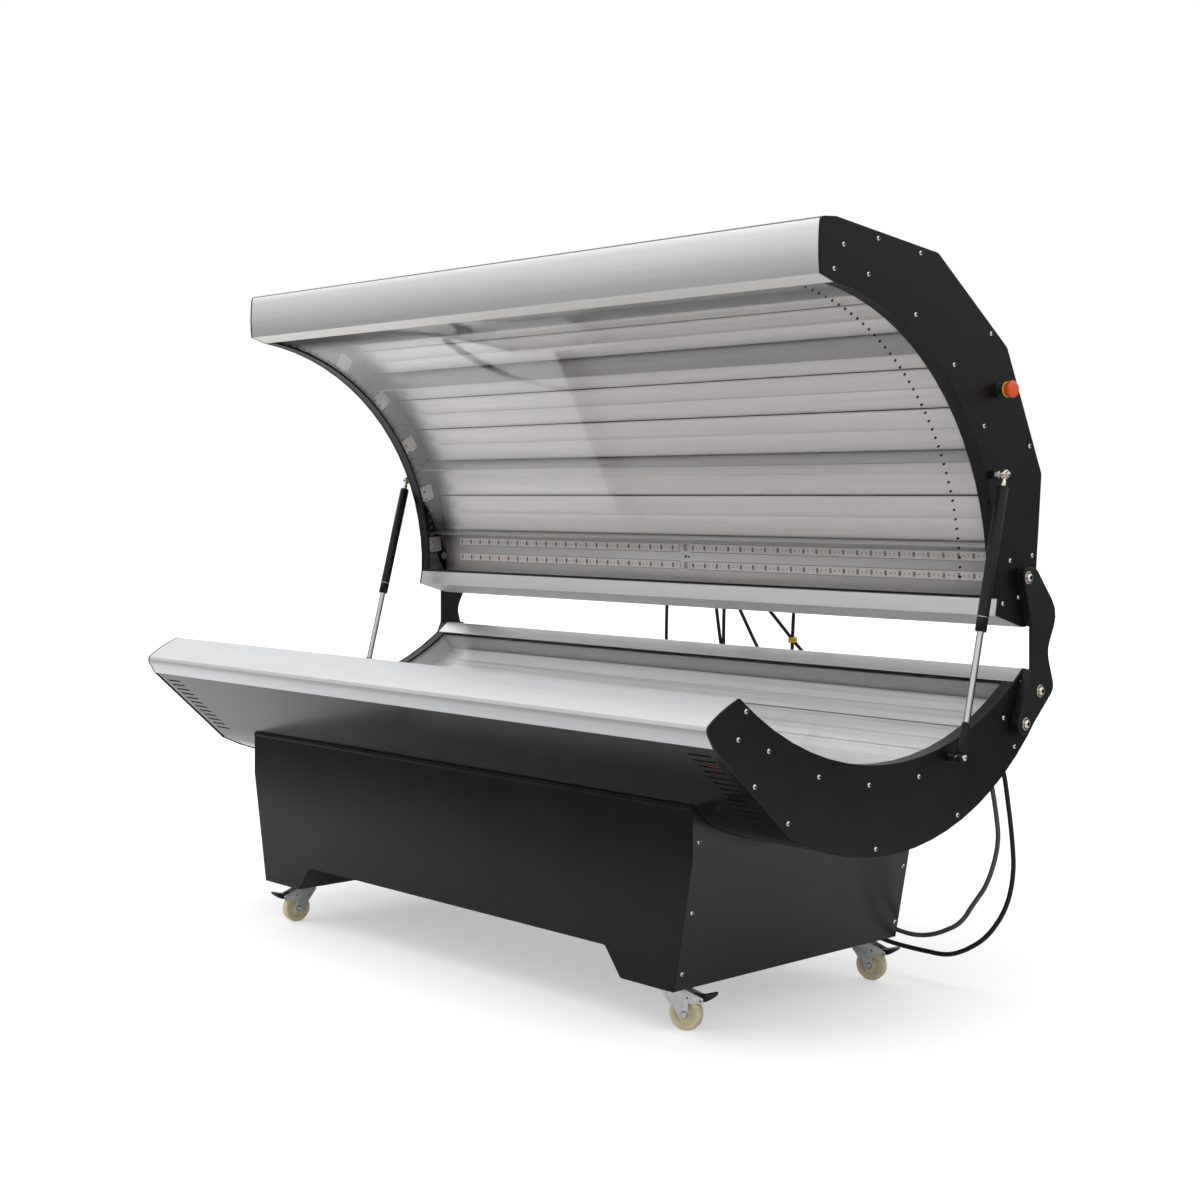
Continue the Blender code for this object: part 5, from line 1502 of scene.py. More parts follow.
@dataclass
class ClearSheets:
    """The curved acrylic of bed and canopy, with the canopy's two rows of drilled holes.

    Attributes:
        hole_xs: Places of the two rows of holes along the bed.
        hole_radius: Radius of a hole.
        first: Angle of the first hole.
        pitch: Degrees between holes.
        count: Holes in a row.
        dark_left: Holes of the left row, from the top, that look dark.
        canopy_span: Angles over which the canopy's sheet reaches.
        bed_span: Angles over which the bed's sheet reaches.
    """

    hole_xs: Flat = (-1.045, 0.985)
    hole_radius: float = 0.0028
    first: float = 81.6
    pitch: float = 1.95
    count: int = 42
    dark_left: int = 7
    canopy_span: Flat = (-1.84, 82.66)
    bed_span: Flat = (-129.95, -53.92)

    def build(self) -> None:
        """Build both sheets and the holes."""
        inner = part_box("bed_acrylic")[1].x
        sheets = ((Body.BED, TROUGH, self.bed_span, CLEAR_BED),
                  (Body.CANOPY, HOLLOW, self.canopy_span, CLEAR))
        for body, bow, span, finish in sheets:
            outline = bow.sector(*span, SHEET_NEAR, SHEET_FAR, 1.0)
            shape = Shape().use(finish).prism(outline, -inner, inner)
            shape.fit(f"{body.value}_clear_sheet", body.value, Slot.CLEAR_SHEET, f"{body.value}_acrylic")
        self.holes()

    def holes(self) -> None:
        """The drilled holes, as short sleeves in the sheet whose walls carry painted shade: black where the
        holes look dark, grey elsewhere.
        """
        shape = Shape()
        for x in self.hole_xs:
            for number in range(self.count):
                # Painted shade: holes that look dark get black walls, the rest grey.
                shape.use(GASKET_AND_HOLE_SHADE if x > 0 or number < self.dark_left else LINER_GREY)
                angle = self.first - self.pitch * number
                y, z = HOLLOW.at(angle, SHEET_NEAR - 0.0002)
                turn = math.radians(angle)
                way = (0, math.cos(turn), math.sin(turn))
                depth = SHEET_FAR - SHEET_NEAR + 0.0004
                wall = [(0.0, 0.0008), (0.7 * self.hole_radius, 0.0008), (0.8 * self.hole_radius, 0.0),
                        (self.hole_radius, 0.0), (self.hole_radius, depth), (0.0, depth)]
                shape.turned(wall, along((x, y, z), way), 14)
        shape.fit("canopy_sheet_holes", Body.CANOPY.value, Slot.CLEAR_SHEET)


# LED panels

@dataclass
class LedPanels:
    """The folded LED boards behind the clear sheets, their fins and the bare LED strips.

    Attributes:
        canopy_out: The canopy's boards, outside its round.
        bed_out: The bed's boards, outside its round.
        thickness: Of a board.
        end_play: Room at the boards' ends, in canopy and bed.
        groups: The canopy's groups of boards, from angle to angle, with their count.
        last: Angles of the canopy's lowest board.
        fins: Angles of the fins between the groups.
        fin_reach: Inner and outer end of a fin, inside the boards.
        fin_thickness: Of a fin, and of the walls beside the bed's boards.
        wall_reach: Inner and outer end of such a wall, inside the boards.
        bed_span: Angles over which the bed's boards reach.
        bed_boards: Boards across the bed.
        seam: Gap between two boards.
        rise: Height of the two long swells on a board.
        swell_end: Where a swell ends, from the middle of the bed.
        swell_share: Half the width of a swell, as a share of its lane.
        strip_rows: Lower and upper angle of each row of LED strips.
        strip_runs: Ends of the strips along the bed.
        chip_pitch: Distance between the chips and dots of a strip.
        chip_size: Width and height of a chip.
        dot: Width, height and corner radius of a dot.
        tab: Width, height and corner radius of the tabs that join the strips.
    """

    canopy_out: float = 0.0983
    bed_out: float = 0.0783
    thickness: float = 0.0018
    end_play: Flat = (0.0025, 0.002)
    groups: tuple[tuple[float, float, int], ...] = ((82.7, 50.2, 4), (50.2, 24.7, 3), (24.7, 7.5, 2))
    last: Flat = (7.5, -2.4)
    fins: tuple[float, ...] = (69.9, 50.2, 24.7, 7.5)
    fin_reach: Flat = (0.073, 0.001)
    fin_thickness: float = 0.003
    wall_reach: Flat = (0.052, -0.002)
    bed_span: Flat = (-128.5, -52.5)
    bed_boards: int = 10
    seam: float = 0.0040
    rise: float = 0.0062
    swell_end: float = 1.015
    swell_share: float = 0.46
    strip_rows: tuple[Flat, ...] = ((4.0, 5.9), (0.4, 2.25))
    strip_runs: tuple[Flat, ...] = ((-1.020, -0.0345), (0.0035, 1.020))
    chip_pitch: float = 0.0150
    chip_size: Flat = (0.0066, 0.0125)
    dot: Triple = (0.0030, 0.0034, 0.0008)
    tab: Triple = (0.013, 0.019, 0.002)

    def build(self) -> None:
        """Build the boards of canopy and bed."""
        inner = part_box("canopy_led_board_1")[1].x - self.end_play[0]
        for number, (top, low, count) in enumerate(self.groups, 1):
            shape = Shape().use(BOARD_WHITE)
            folds = spread(low, top, count)
            for one, two in zip(folds, folds[1:]):
                self.board(shape, HOLLOW, self.canopy_out, one, two, inner, True)
            self.finish_boards(shape, f"canopy_boards_{number}", Body.CANOPY, f"canopy_led_board_{number}")
        shape = Shape().use(BOARD_WHITE)
        self.board(shape, HOLLOW, self.canopy_out, self.last[1], self.last[0], inner, False)
        self.finish_boards(shape, "canopy_boards_4", Body.CANOPY, "canopy_led_board_4")
        self.strips()
        fins = [[HOLLOW.at(a, self.canopy_out - depth) for depth in self.fin_reach] for a in self.fins]
        self.wall_set("canopy_fins", Body.CANOPY, FIN_METAL, inner, fins)
        shape = Shape().use(BED_WHITE)
        folds = spread(*self.bed_span, self.bed_boards)
        tray_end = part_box("bed_led_tray")[1].x - self.end_play[1]
        for one, two in zip(folds, folds[1:]):
            self.board(shape, TROUGH, self.bed_out, one, two, tray_end, True)
        self.finish_boards(shape, "bed_boards", Body.BED, "bed_led_tray")
        walls = [[TROUGH.at(a, self.bed_out - depth) for depth in self.wall_reach] for a in self.bed_span]
        self.wall_set("bed_tray_walls", Body.BED, WALL_GREY, tray_end, walls)

    def finish_boards(self, shape: Shape, name: str, body: Body, node: str) -> None:
        """Give a skin of boards its thickness and put it in its place.

        Args:
            shape: The skin.
            name: Name of the piece.
            body: Its body.
            node: The CAD node that it stands for.
        """
        made = shape.build(name)
        wall = made.modifiers.new("thickness", "SOLIDIFY")
        wall.thickness = self.thickness
        wall.offset = 0.0
        fasten(made, body.value, Slot.LED_BOARD, node)

    def board(self, shape: Shape, bow: Bow, out: float, low: float, high: float, half: float,
              swells: bool) -> None:
        """Add one flat board with two long swells.

        Args:
            shape: Shape it goes into.
            bow: The round that it lies behind.
            out: How far behind.
            low: First angle.
            high: Last angle.
            half: Half its length.
            swells: Whether it has the two swells.
        """
        first, last = Vector(bow.at(low, out)), Vector(bow.at(high, out))
        width = (last - first).length
        way = (last - first) / width
        inwards = Vector(bow.centre) - (first + last) / 2
        inwards.normalize()
        lane = (width - self.seam) / 2
        xs, across = [-half, half], [self.seam / 2, width - self.seam / 2]
        if swells:
            turns = [math.pi / 2 * k / 7 for k in range(8)]
            ends = [self.swell_end - lane * self.swell_share * (1 - math.cos(turn)) for turn in turns]
            xs = [-half] + [-e for e in ends] + ends[::-1] + [half]
            across = [self.seam / 2 + lane * (n + k / 12) for n in range(2) for k in range(13)]
        rows = []
        for v in across:
            foot = first + way * v
            row = []
            for x in xs:
                lift = self.swell(x, v - self.seam / 2, lane) if swells else 0.0
                spot = foot + inwards * lift
                row.append(Vector((x, spot.x, spot.y)))
            rows.append(row)
        shape.sheet(rows)

    def swell(self, x: float, v: float, lane: float) -> float:
        """Height of the swells at a place.

        Args:
            x: Along the bed.
            v: Across the board.
            lane: Width of one swell.

        Returns:
            The height over the flat board.
        """
        half = lane * self.swell_share
        off = (v % lane) - lane / 2 if v < 2 * lane else lane / 2
        past = max(0.0, abs(x) - (self.swell_end - half))
        reach = math.hypot(off, past) / half
        return self.rise * math.sqrt(max(0.0, 1.0 - reach ** 2))

    def wall_set(self, name: str, body: Body, finish: Finish, half: float,
                 feet: Sequence[Sequence[Flat]]) -> None:
        """Stand thin walls along the bed, as one piece.

        Args:
            name: Name of the piece.
            body: Its body.
            finish: Its finish.
            half: Half its length.
            feet: Inner and outer end of each wall, as (y, z).
        """
        shape = Shape().use(finish)
        for foot in feet:
            near, far = (Vector(end) for end in foot)
            side = Vector((near.y - far.y, far.x - near.x)).normalized() * self.fin_thickness / 2
            outline = [tuple(p) for p in (near - side, near + side, far + side, far - side)]
            shape.prism(outline, -half, half)
        shape.soften(0.0006).fit(name, body.value, Slot.LED_BOARD)

    def strips(self) -> None:
        """The bare LED strips on the canopy's lowest board."""
        shape = Shape()
        low, high = (Vector(HOLLOW.at(a, self.canopy_out)) for a in (self.last[1], self.last[0]))
        width = (high - low).length
        up = (high - low) / width
        inwards = Vector((-up.y, up.x))
        if inwards.dot(Vector(HOLLOW.centre) - low) < 0:
            inwards = -inwards
        place = Matrix(((1, 0, 0, 0), (0, up.x, inwards.x, low.x), (0, up.y, inwards.y, low.y),
                        (0, 0, 0, 1)))
        span = self.last[0] - self.last[1]
        for angles in self.strip_rows:
            bottom, top = (width * (a - self.last[1]) / span for a in angles)
            for run in self.strip_runs:
                self.strip(shape, place, run, (bottom, top))
        middles = [width * (sum(a) / 2 - self.last[1]) / span for a in self.strip_rows]
        self.strip_joint(shape, place, middles)
        shape.fit("canopy_led_strips", Body.CANOPY.value, Slot.LED_BOARD)

    def strip_joint(self, shape: Shape, place: Matrix, heights: Sequence[float]) -> None:
        """Add the tabs that join the strips in the middle and the two screws between them.

        Args:
            shape: Shape they go into.
            place: Frame of the board: along, up, out of it.
            heights: Middle of each row of strips on the board.
        """
        face = self.thickness / 2
        x = (self.strip_runs[0][1] + self.strip_runs[1][0]) / 2
        tab = box_outline(*self.tab)
        for height in heights:
            here = place @ Matrix.Translation((x + 0.002, height, 0.0))
            shape.use(JOINT_GREY).prism(tab, face, 0.0016, here)
        for shift, radius in ((0.003, 0.0042), (0.015, 0.0030)):
            dome = [(radius, face), (radius * 0.9, 0.0020), (radius * 0.5, 0.0028), (0.0, 0.0030)]
            here = place @ Matrix.Translation((x + shift, sum(heights) / len(heights), 0.0))
            shape.use(SOCKET_DARK).turned(dome, here, 12)

    def strip(self, shape: Shape, place: Matrix, run: Flat, rows: Flat) -> None:
        """Add one strip: its base, the line round it and its chips.

        Args:
            shape: Shape it goes into.
            place: Frame of the board: along, up, out of it.
            run: Its ends along the bed.
            rows: Its lower and upper edge on the board.
        """
        face = self.thickness / 2
        length, height = run[1] - run[0], rows[1] - rows[0]
        here = place @ Matrix.Translation(((run[0] + run[1]) / 2, (rows[0] + rows[1]) / 2, 0.0))
        line, base = box_outline(length, height, 0.003), box_outline(length - 0.003, height - 0.003, 0.002)
        shape.use(STRIP_LINE).prism(line, face, 0.0014, here)
        shape.use(STRIP_CREAM).prism(base, face, 0.0018, here)
        count = int((length - 0.02) / self.chip_pitch)
        wide, tall = self.chip_size
        dot, bar = box_outline(*self.dot, 2), box_outline(0.38 * wide, tall, 0.0008, 2)
        for i in range(count + 1):
            x = (i - count / 2) * self.chip_pitch
            if i % 3:
                spot = here @ Matrix.Translation((x, 0.0, 0.0))
                shape.use(STRIP_LINE).prism(dot, 0.0016, 0.0024, spot)
                continue
            for shift in (-0.3, 0.3):
                spot = here @ Matrix.Translation((x + shift * wide, 0.0, 0.0))
                shape.use(CHIP_BROWN).prism(bar, 0.0016, 0.0030, spot)


# Hinges

@dataclass
class Hinges:
    """The two hinge arms with their bolts.

    Attributes:
        screws: Gives the form of a bolt's head.
        pivot: The canopy's axis as (y, z).
        edge: Rounding of an arm's edges.
        studs: The two clamping bolts as (y, z).
        washer: Radius and height of a washer.
        head_scale: A bolt's head against a small screw's.
        nut: Radius and height of the nut inside, and its place along the bed.
        shank: Radius and length of a bolt's shank.
    """

    screws: Screws
    pivot: Flat = (0.467, 0.987)
    edge: float = 0.0016
    studs: tuple[Flat, ...] = ((0.514, 0.7195), (0.456, 0.647))
    washer: Flat = (0.0150, 0.0024)
    head_scale: float = 1.75
    nut: Triple = (0.012, 0.008, 1.0937)
    shank: Flat = (0.007, 0.030)

    def build(self) -> None:
        """Build both hinges."""
        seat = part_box("hinge_arm_right")[1].x
        for side in Side:
            word = side.word
            refine(f"hinge_arm_{word}", f"hinge_arm_{word}_block", ARM_BLACK, Body.BED.value,
                   Slot.BLACK_SHEET, self.edge)
            shape = Shape()
            self.bolt(shape, side, self.pivot, seat)
            radius, height, x = self.nut
            shape.use(NICKEL).turned([(0.0, 0.0), (radius, 0.0), (radius, -height), (0.0, -height)],
                                     out_of_end(side, x, *self.pivot), 6)
            shape.fit(f"pivot_fastener_{word}", Body.BED.value, Slot.NICKEL, f"pivot_bolt_{word}")
            shape = Shape()
            for stud in self.studs:
                self.bolt(shape, side, stud, seat)
            shape.fit(f"arm_fasteners_{word}", Body.BED.value, Slot.NICKEL, f"hinge_stud_plate_{word}")

    def bolt(self, shape: Shape, side: Side, point: Flat, seat: float) -> None:
        """Add a bolt with its washer.

        Args:
            shape: Shape it goes into.
            side: Which end.
            point: Its axis as (y, z).
            seat: Outer face of the arm.
        """
        radius, height = self.washer
        base = out_of_end(side, seat + 0.0002, *point)
        shank, depth = self.shank
        ring = [(shank, -depth), (shank, 0.0), (radius - 0.0004, 0.0), (radius, 0.0004),
                (radius, height - 0.0006), (radius - 0.0006, height), (0.0, height)]
        shape.use(NICKEL).turned(ring, base, 36)
        groove = self.screws.radius * self.head_scale
        # A thin dark ring on the washer round the head: painted shadow.
        shadow = [(groove + 0.0012, height - 0.0001), (groove + 0.0011, height + 0.0003),
                  (groove, height + 0.0003)]
        shape.use(SOCKET_DARK).turned(shadow, base, 36)
        self.screws.head(shape, base @ Matrix.Translation((0, 0, height)), self.head_scale, 32)


# Gas struts

@dataclass
class GasStruts:
    """Two gas struts: studs on the bed, rods, and cylinders with their eyes.

    Attributes:
        joints: The record's joints.
        high: The upper pivot as (y, z).
        barrel: Radius and length of a cylinder.
        neck: Room between cylinder and upper eye.
        rod: Radius of a rod.
        rod_insert: How far a rod's top stands inside its cylinder.
        socket: Radius and end of the black socket on a rod.
        eye: Radius and width of an eye.
        cap: Length of a cylinder's end cap.
    """

    joints: Sequence[dict]
    high: Flat = (0.357, 1.227)
    barrel: Flat = (0.0133, 0.339)
    neck: float = 0.028
    rod: float = 0.0077
    rod_insert: float = 0.040
    socket: Flat = (0.0104, 0.079)
    eye: Flat = (0.0118, 0.0130)
    cap: float = 0.033

    def build(self) -> None:
        """Build both struts."""
        for side in Side:
            low = joint_place(self.joints, f"strut_swing_{side.word}")
            way = Vector((0.0, self.high[0] - low.y, self.high[1] - low.z))
            self.one(side, low, way.length, math.atan2(way.z, way.y))

    def one(self, side: Side, low: Vector, length: float, lean: float) -> None:
        """Build one strut.

        Args:
            side: Which end.
            low: The lower pivot.
            length: Distance between the pivots.
            lean: Angle of the strut in the end view.
        """
        word = side.word
        frame = Matrix.Translation(low) @ Matrix.Rotation(lean - math.pi / 2, 4, "X")
        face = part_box("bed_end_right")[1].x + 0.0003
        offset = abs(low.x) - face
        self.stud(side, low, face, offset)
        top = length - self.neck
        foot = top - self.barrel[1]
        shape = Shape().use(CHROME)
        rod_top = foot + self.rod_insert
        shape.turned([(0.0, rod_top), (self.rod, rod_top), (self.rod, self.socket[1] - 0.004)], frame, 28)
        radius, end = self.socket
        sleeve = [(self.rod * 0.9, end), (radius * 0.82, end), (radius * 0.92, end - 0.0015),
                  (radius, end - 0.006), (radius, 0.016), (radius * 0.9, 0.010), (radius * 0.6, 0.008),
                  (0.0, 0.008)]
        shape.use(SOCKET_BLACK).turned(sleeve, frame, 28)
        self.ring(shape, side, low, 0.0053, SOCKET_BLACK)
        shape.fit(f"strut_rod_{word}_set", f"strut_rod_{word}", Slot.STRUT_ROD, f"strut_rod_{word}")

        r = self.barrel[0]
        shape = Shape().use(STRUT_BLACK)
        seam = foot + self.cap
        bore = self.rod + 0.0004
        body = [(0.0, top + 0.0005), (r * 0.62, top + 0.0005), (r * 0.9, top - 0.0012), (r, top - 0.004),
                (r, seam + 0.002), (r * 0.93, seam + 0.0012), (r * 0.93, seam), (r, seam - 0.001),
                (r, foot + 0.003), (r * 0.9, foot), (bore, foot), (bore, foot + 0.006)]
        shape.turned(body, frame, 36)
        line = [(r * 0.92, seam + 0.0013), (r * 0.975, seam + 0.0011), (r * 0.975, seam - 0.0001),
                (r * 0.92, seam - 0.0003)]
        shape.use(NICKEL).turned(line, frame, 36)
        neck = [(0.0058, top - 0.001), (0.0058, length - 0.017), (0.0046, length - 0.015),
                (0.0046, length - 0.009)]
        shape.use(NICKEL).turned(neck, frame, 24)
        upper = Vector((low.x, self.high[0], self.high[1]))
        self.ring(shape, side, upper, 0.0060, NICKEL)
        pin = [(0.0, offset + 0.0128), (0.0040, offset + 0.0128), (0.0066, offset + 0.0112),
               (0.0074, offset + 0.0085), (0.0066, offset + 0.0060), (0.0050, offset + 0.0045),
               (0.0050, 0.0200)]
        place = out_of_end(side, face, *self.high)
        shape.use(NICKEL).turned(pin, place, 24)
        nut = [(0.0048, 0.0224), (0.0076, 0.0222), (0.0084, 0.0214), (0.0084, 0.0134), (0.0060, 0.0128)]
        shape.turned(nut, place, 6)
        base = [(0.0050, 0.0130), (0.0091, 0.0130), (0.0095, 0.0126), (0.0095, 0.0)]
        shape.use(STRUT_BLACK).turned(base, place, 24)
        shape.fit(f"strut_cylinder_{word}_set", f"strut_cylinder_{word}", Slot.STRUT_CYLINDER,
                  f"strut_cylinder_{word}")

    def ring(self, shape: Shape, side: Side, centre: Vector, bore: float, finish: Finish) -> None:
        """Add the rounded eye of a ball joint.

        Args:
            shape: Shape it goes into.
            side: Which end.
            centre: Middle of the eye.
            bore: Its inner radius.
            finish: Its finish.
        """
        radius, half = self.eye[0], self.eye[1] / 2
        upper = [(bore, half * 0.86), (radius * 0.72, half), (radius * 0.9, half * 0.82),
                 (radius, half * 0.4)]
        section = upper + [(u, -v) for u, v in reversed(upper)] + upper[:1]
        place = out_of_end(side, abs(centre.x), centre.y, centre.z)
        shape.use(finish).turned(section, place, 28)

    @staticmethod
    def stud(side: Side, low: Vector, face: float, offset: float) -> None:
        """Add the lower ball stud on the bed's end plate.

        Args:
            side: Which end.
            low: The lower pivot.
            face: Outer face of the plate.
            offset: Distance of the strut from it.
        """
        shape = Shape().use(NICKEL)
        place = out_of_end(side, face, low.y, low.z)
        shaft = [(0.0, offset + 0.0128), (0.0044, offset + 0.0128), (0.0064, offset + 0.0116),
                 (0.0074, offset + 0.0092), (0.0070, offset + 0.0070), (0.0050, offset + 0.0066),
                 (0.0050, 0.0120)]
        shape.turned(shaft, place, 24)
        shape.use(STRUT_BLACK)
        collar = [(0.0048, 0.0222), (0.0092, 0.0220), (0.0096, 0.0214), (0.0096, 0.0200), (0.0060, 0.0196)]
        base = [(0.0050, 0.0200), (0.0104, 0.0200), (0.0108, 0.0194), (0.0110, 0.0)]
        for profile in (collar, base):
            shape.turned(profile, place, 24)
        shape.fit(f"strut_ball_stud_{side.word}", Body.BED.value, Slot.NICKEL, f"strut_stud_{side.word}")


# Emergency stop

@dataclass
class EmergencyStop:
    """The emergency stop on the right end of the canopy: collar, stem with its ring, mushroom cap.

    Attributes:
        axis: Its axis as (y, z).
        ribs: Ribs round the collar.
        bore: Radius of the collar's bore.
        stem: Radius of the stem.
    """

    axis: Flat = (0.385, 1.423)
    ribs: int = 3
    bore: float = 0.0073
    stem: float = 0.0068

    def build(self) -> None:
        """Build its three pieces."""
        place, radius, height = self.seat("estop_collar")
        section: list[Flat] = [(self.bore, 0.0), (radius, 0.0)]
        for i in range(self.ribs):
            start = height * (0.16 + 0.22 * i)
            section += [(radius, start), (radius * 0.95, start + 0.0006), (radius * 0.95, start + 0.0014),
                        (radius, start + 0.0020)]
        section += [(radius, height * 0.86), (radius * 0.94, height), (self.bore, height), (self.bore, 0.0)]
        shape = Shape().use(STOP_BLACK).turned(section, place, 40)
        shape.fit("stop_collar", Body.CANOPY.value, Slot.STOP_COLLAR, "estop_collar")

        place, radius, height = self.seat("estop_stem")
        under = height - 0.0035
        section = [(0.0, 0.0), (self.stem, 0.0), (self.stem, under), (radius - 0.0008, under),
                   (radius, height - 0.0027), (radius, height - 0.0006), (radius - 0.0006, height),
                   (0.0, height)]
        shape = Shape().use(STOP_YELLOW).turned(section, place, 40)
        shape.fit("stop_stem", Body.STOP_STEM.value, Slot.STOP_YELLOW, "estop_stem")

        place, r, h = self.seat("estop_cap")
        section = [(0.0, 0.0), (0.80 * r, 0.0), (0.84 * r, 0.03 * h), (0.90 * r, 0.24 * h),
                   (0.985 * r, 0.36 * h), (r, 0.46 * h), (r, 0.62 * h), (0.985 * r, 0.74 * h),
                   (0.93 * r, 0.86 * h), (0.84 * r, 0.94 * h), (0.70 * r, 0.985 * h), (0.5 * r, h), (0.0, h)]
        shape = Shape().use(STOP_RED).turned(section, place, 48)
        shape.fit("stop_cap", Body.STOP_CAP.value, Slot.STOP_RED, "estop_cap")

    def seat(self, node: str) -> tuple[Matrix, float, float]:
        """The frame, radius and height of one of its CAD nodes."""
        low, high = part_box(node)
        return out_of_end(Side.RIGHT, low.x, *self.axis), (high.z - low.z) / 2, high.x - low.x


# Casters

class Corner(Enum):
    """The four casters."""

    FRONT_LEFT = "front_left"
    FRONT_RIGHT = "front_right"
    REAR_LEFT = "rear_left"
    REAR_RIGHT = "rear_right"


@dataclass
class Casters:
    """Four swivel casters: plate, fork with its axle, nylon wheel, brake pedal.

    Attributes:
        joints: The record's joints.
        wheel: Radius of a wheel.
        tread: Its width.
        hub: Radius of its hub.
        bore: Radius of its bore.
        cheek: Inner face and outer face of a fork's cheeks, from the middle.
        pin: The pedal's pin as (along, up) from the swivel axis.
        hole: The fork's small hole, likewise.
        reach: Distance of a pedal's tip from its pin.
    """

    joints: Sequence[dict]
    wheel: float = 0.0375
    tread: float = 0.024
    hub: float = 0.0132
    bore: float = 0.0043
    cheek: Flat = (0.0135, 0.0160)
    pin: Flat = (0.065, 0.070)
    hole: Flat = (0.0346, 0.0745)
    reach: float = 0.0335

    def build(self) -> None:
        """Build all four."""
        for corner in Corner:
            self.one(corner.value)

    def frame(self, corner: str) -> Matrix:
        """The frame of a caster: X along its trail, origin on the floor under its swivel."""
        swivel = joint_place(self.joints, f"swivel_{corner}")
        axle = joint_place(self.joints, f"roll_{corner}")
        turn = math.atan2(axle.y - swivel.y, axle.x - swivel.x)
        return Matrix.Translation((swivel.x, swivel.y, 0.0)) @ Matrix.Rotation(turn, 4, "Z")

    def one(self, corner: str) -> None:
        """Build one caster."""
        place = self.frame(corner)
        axle = joint_place(self.joints, f"roll_{corner}")
        refine(f"caster_plate_{corner}", f"caster_{corner}_plate", ZINC, Body.BED.value, Slot.ZINC, 0.0004)
        self.fork(corner, place, axle)
        self.roller(corner, place, axle)
        self.pedal(corner, place)

    def fork(self, corner: str, place: Matrix, axle: Vector) -> None:
        """The fork with axle nuts, a ring of painted shadow under each, and its small holes as dark discs of
        painted shade.

        Args:
            corner: Which caster.
            place: Its frame.
            axle: Middle of the wheel.
        """
        shape = Shape().use(ZINC).node(f"caster_fork_{corner}").soften(0.0004, clamp=False)
        across = place.to_3x3() @ Vector((0, 1, 0))
        for sign in (-1, 1):
            seat = axle + across * sign * self.cheek[1]
            out = along(seat, across * sign)
            # A thin dark ring round the nut: painted shadow.
            shape.use(SOCKET_DARK).turned([(0.0078, 0.0), (0.0078, 0.0005), (0.0060, 0.0006)], out, 28)
            nut = [(0.0066, 0.0004), (0.0066, 0.0022), (0.0058, 0.0029), (0.0032, 0.0030), (0.0029, 0.0022),
                   (0.0, 0.0021)]
            shape.use(NICKEL).turned(nut, out, 28)
            for u, z in (self.hole, self.pin):
                spot = place @ Vector((u, sign * self.cheek[1], z))
                # A dark disc stands for the hole: painted shade.
                well = [(0.0022, -0.0002), (0.0022, 0.0003), (0.0013, 0.0004), (0.0, 0.0001)]
                shape.use(SOCKET_DARK).turned(well, along(spot, across * sign), 14)
        node = f"caster_fork_{corner}"
        shape.fit(f"caster_{corner}_fork", node, Slot.ZINC, node)

    def roller(self, corner: str, place: Matrix, axle: Vector) -> None:
        """The nylon wheel with a dished face and a hub.

        Args:
            corner: Which caster.
            place: Its frame.
            axle: Middle of the wheel.
        """
        across = place.to_3x3() @ Vector((0, 1, 0))
        half, r = self.tread / 2, self.wheel
        side: list[Flat] = [
            (self.bore, half + 0.0010), (self.hub * 0.92, half + 0.0010), (self.hub, half + 0.0004),
            (self.hub * 1.04, half - 0.0040), (r * 0.54, half - 0.0044), (r * 0.57, half - 0.0040),
            (r * 0.60, half - 0.0012), (r * 0.64, half - 0.0008), (r * 0.67, half - 0.0020),
            (r * 0.70, half - 0.0022), (r * 0.73, half - 0.0006), (r * 0.76, half), (r * 0.87, half),
            (r * 0.94, half - 0.0012), (r * 0.985, half - 0.0040), (r, half - 0.0070)]
        section = side + [(u, -v) for u, v in reversed(side)] + [side[0]]
        node = f"caster_wheel_{corner}"
        shape = Shape().use(WHEEL_NYLON).turned(section, along(axle, across), 56)
        shape.fit(f"caster_{corner}_wheel", node, Slot.WHEEL, node)

    def pedal(self, corner: str, place: Matrix) -> None:
        """The brake pedal: a dished tongue with a turned-up tip, on its pin.

        Args:
            corner: Which caster.
            place: Its frame.
        """
        stations = ((-0.024, 0.0092, 0.0128, 0.0042), (-0.012, 0.0086, 0.0128, 0.0058),
                    (0.000, 0.0086, 0.0128, 0.0110), (0.0075, 0.0096, 0.0132, 0.0130),
                    (0.014, 0.0114, 0.0150, 0.0125), (0.022, 0.0134, 0.0160, 0.0098),
                    (0.029, 0.0150, 0.0148, 0.0070), (self.reach, 0.0158, 0.0105, 0.0044))
        rows_top, rows_low = [], []
        for u, z, half, depth in stations:
            for rows, drop in ((rows_top, 0.0), (rows_low, -depth)):
                row = []
                for k in range(9):
                    v = -1 + k / 4
                    edge = 0.0016 * abs(v) ** 4
                    row.append(place @ Vector((self.pin[0] + u, half * v, self.pin[1] + z + drop + edge)))
                rows.append(row)
        ring_rows = [top + low[::-1] for top, low in zip(rows_top, rows_low)]
        shape = Shape().use(PEDAL_BLACK)
        grid = [[shape.mesh.verts.new(p) for p in row] for row in ring_rows]
        for one, two in zip(grid, grid[1:]):
            shape.band(one, two)
        shape.face(grid[0][::-1])
        shape.face(grid[-1])
        shape.soften(0.0007)
        axis = place.to_3x3() @ Vector((0, 1, 0))
        spot = place @ Vector((self.pin[0], 0.0, self.pin[1]))
        half = self.cheek[0] - 0.0005
        shape.turned([(0.0, -half), (0.0044, -half), (0.0044, half), (0.0, half)], along(spot, axis), 18)
        web = [(-0.004, -0.001), (0.004, -0.001), (0.0045, 0.0055), (-0.0045, 0.0050)]
        sweep = Matrix.Translation((self.pin[0], 0.0, self.pin[1])) @ SWEEP_Y
        shape.prism(web, -0.0118, 0.0118, place @ sweep)
        node = f"caster_pedal_{corner}"
        shape.fit(f"caster_{corner}_pedal", node, Slot.PEDAL, node)


# Base, under panel, back

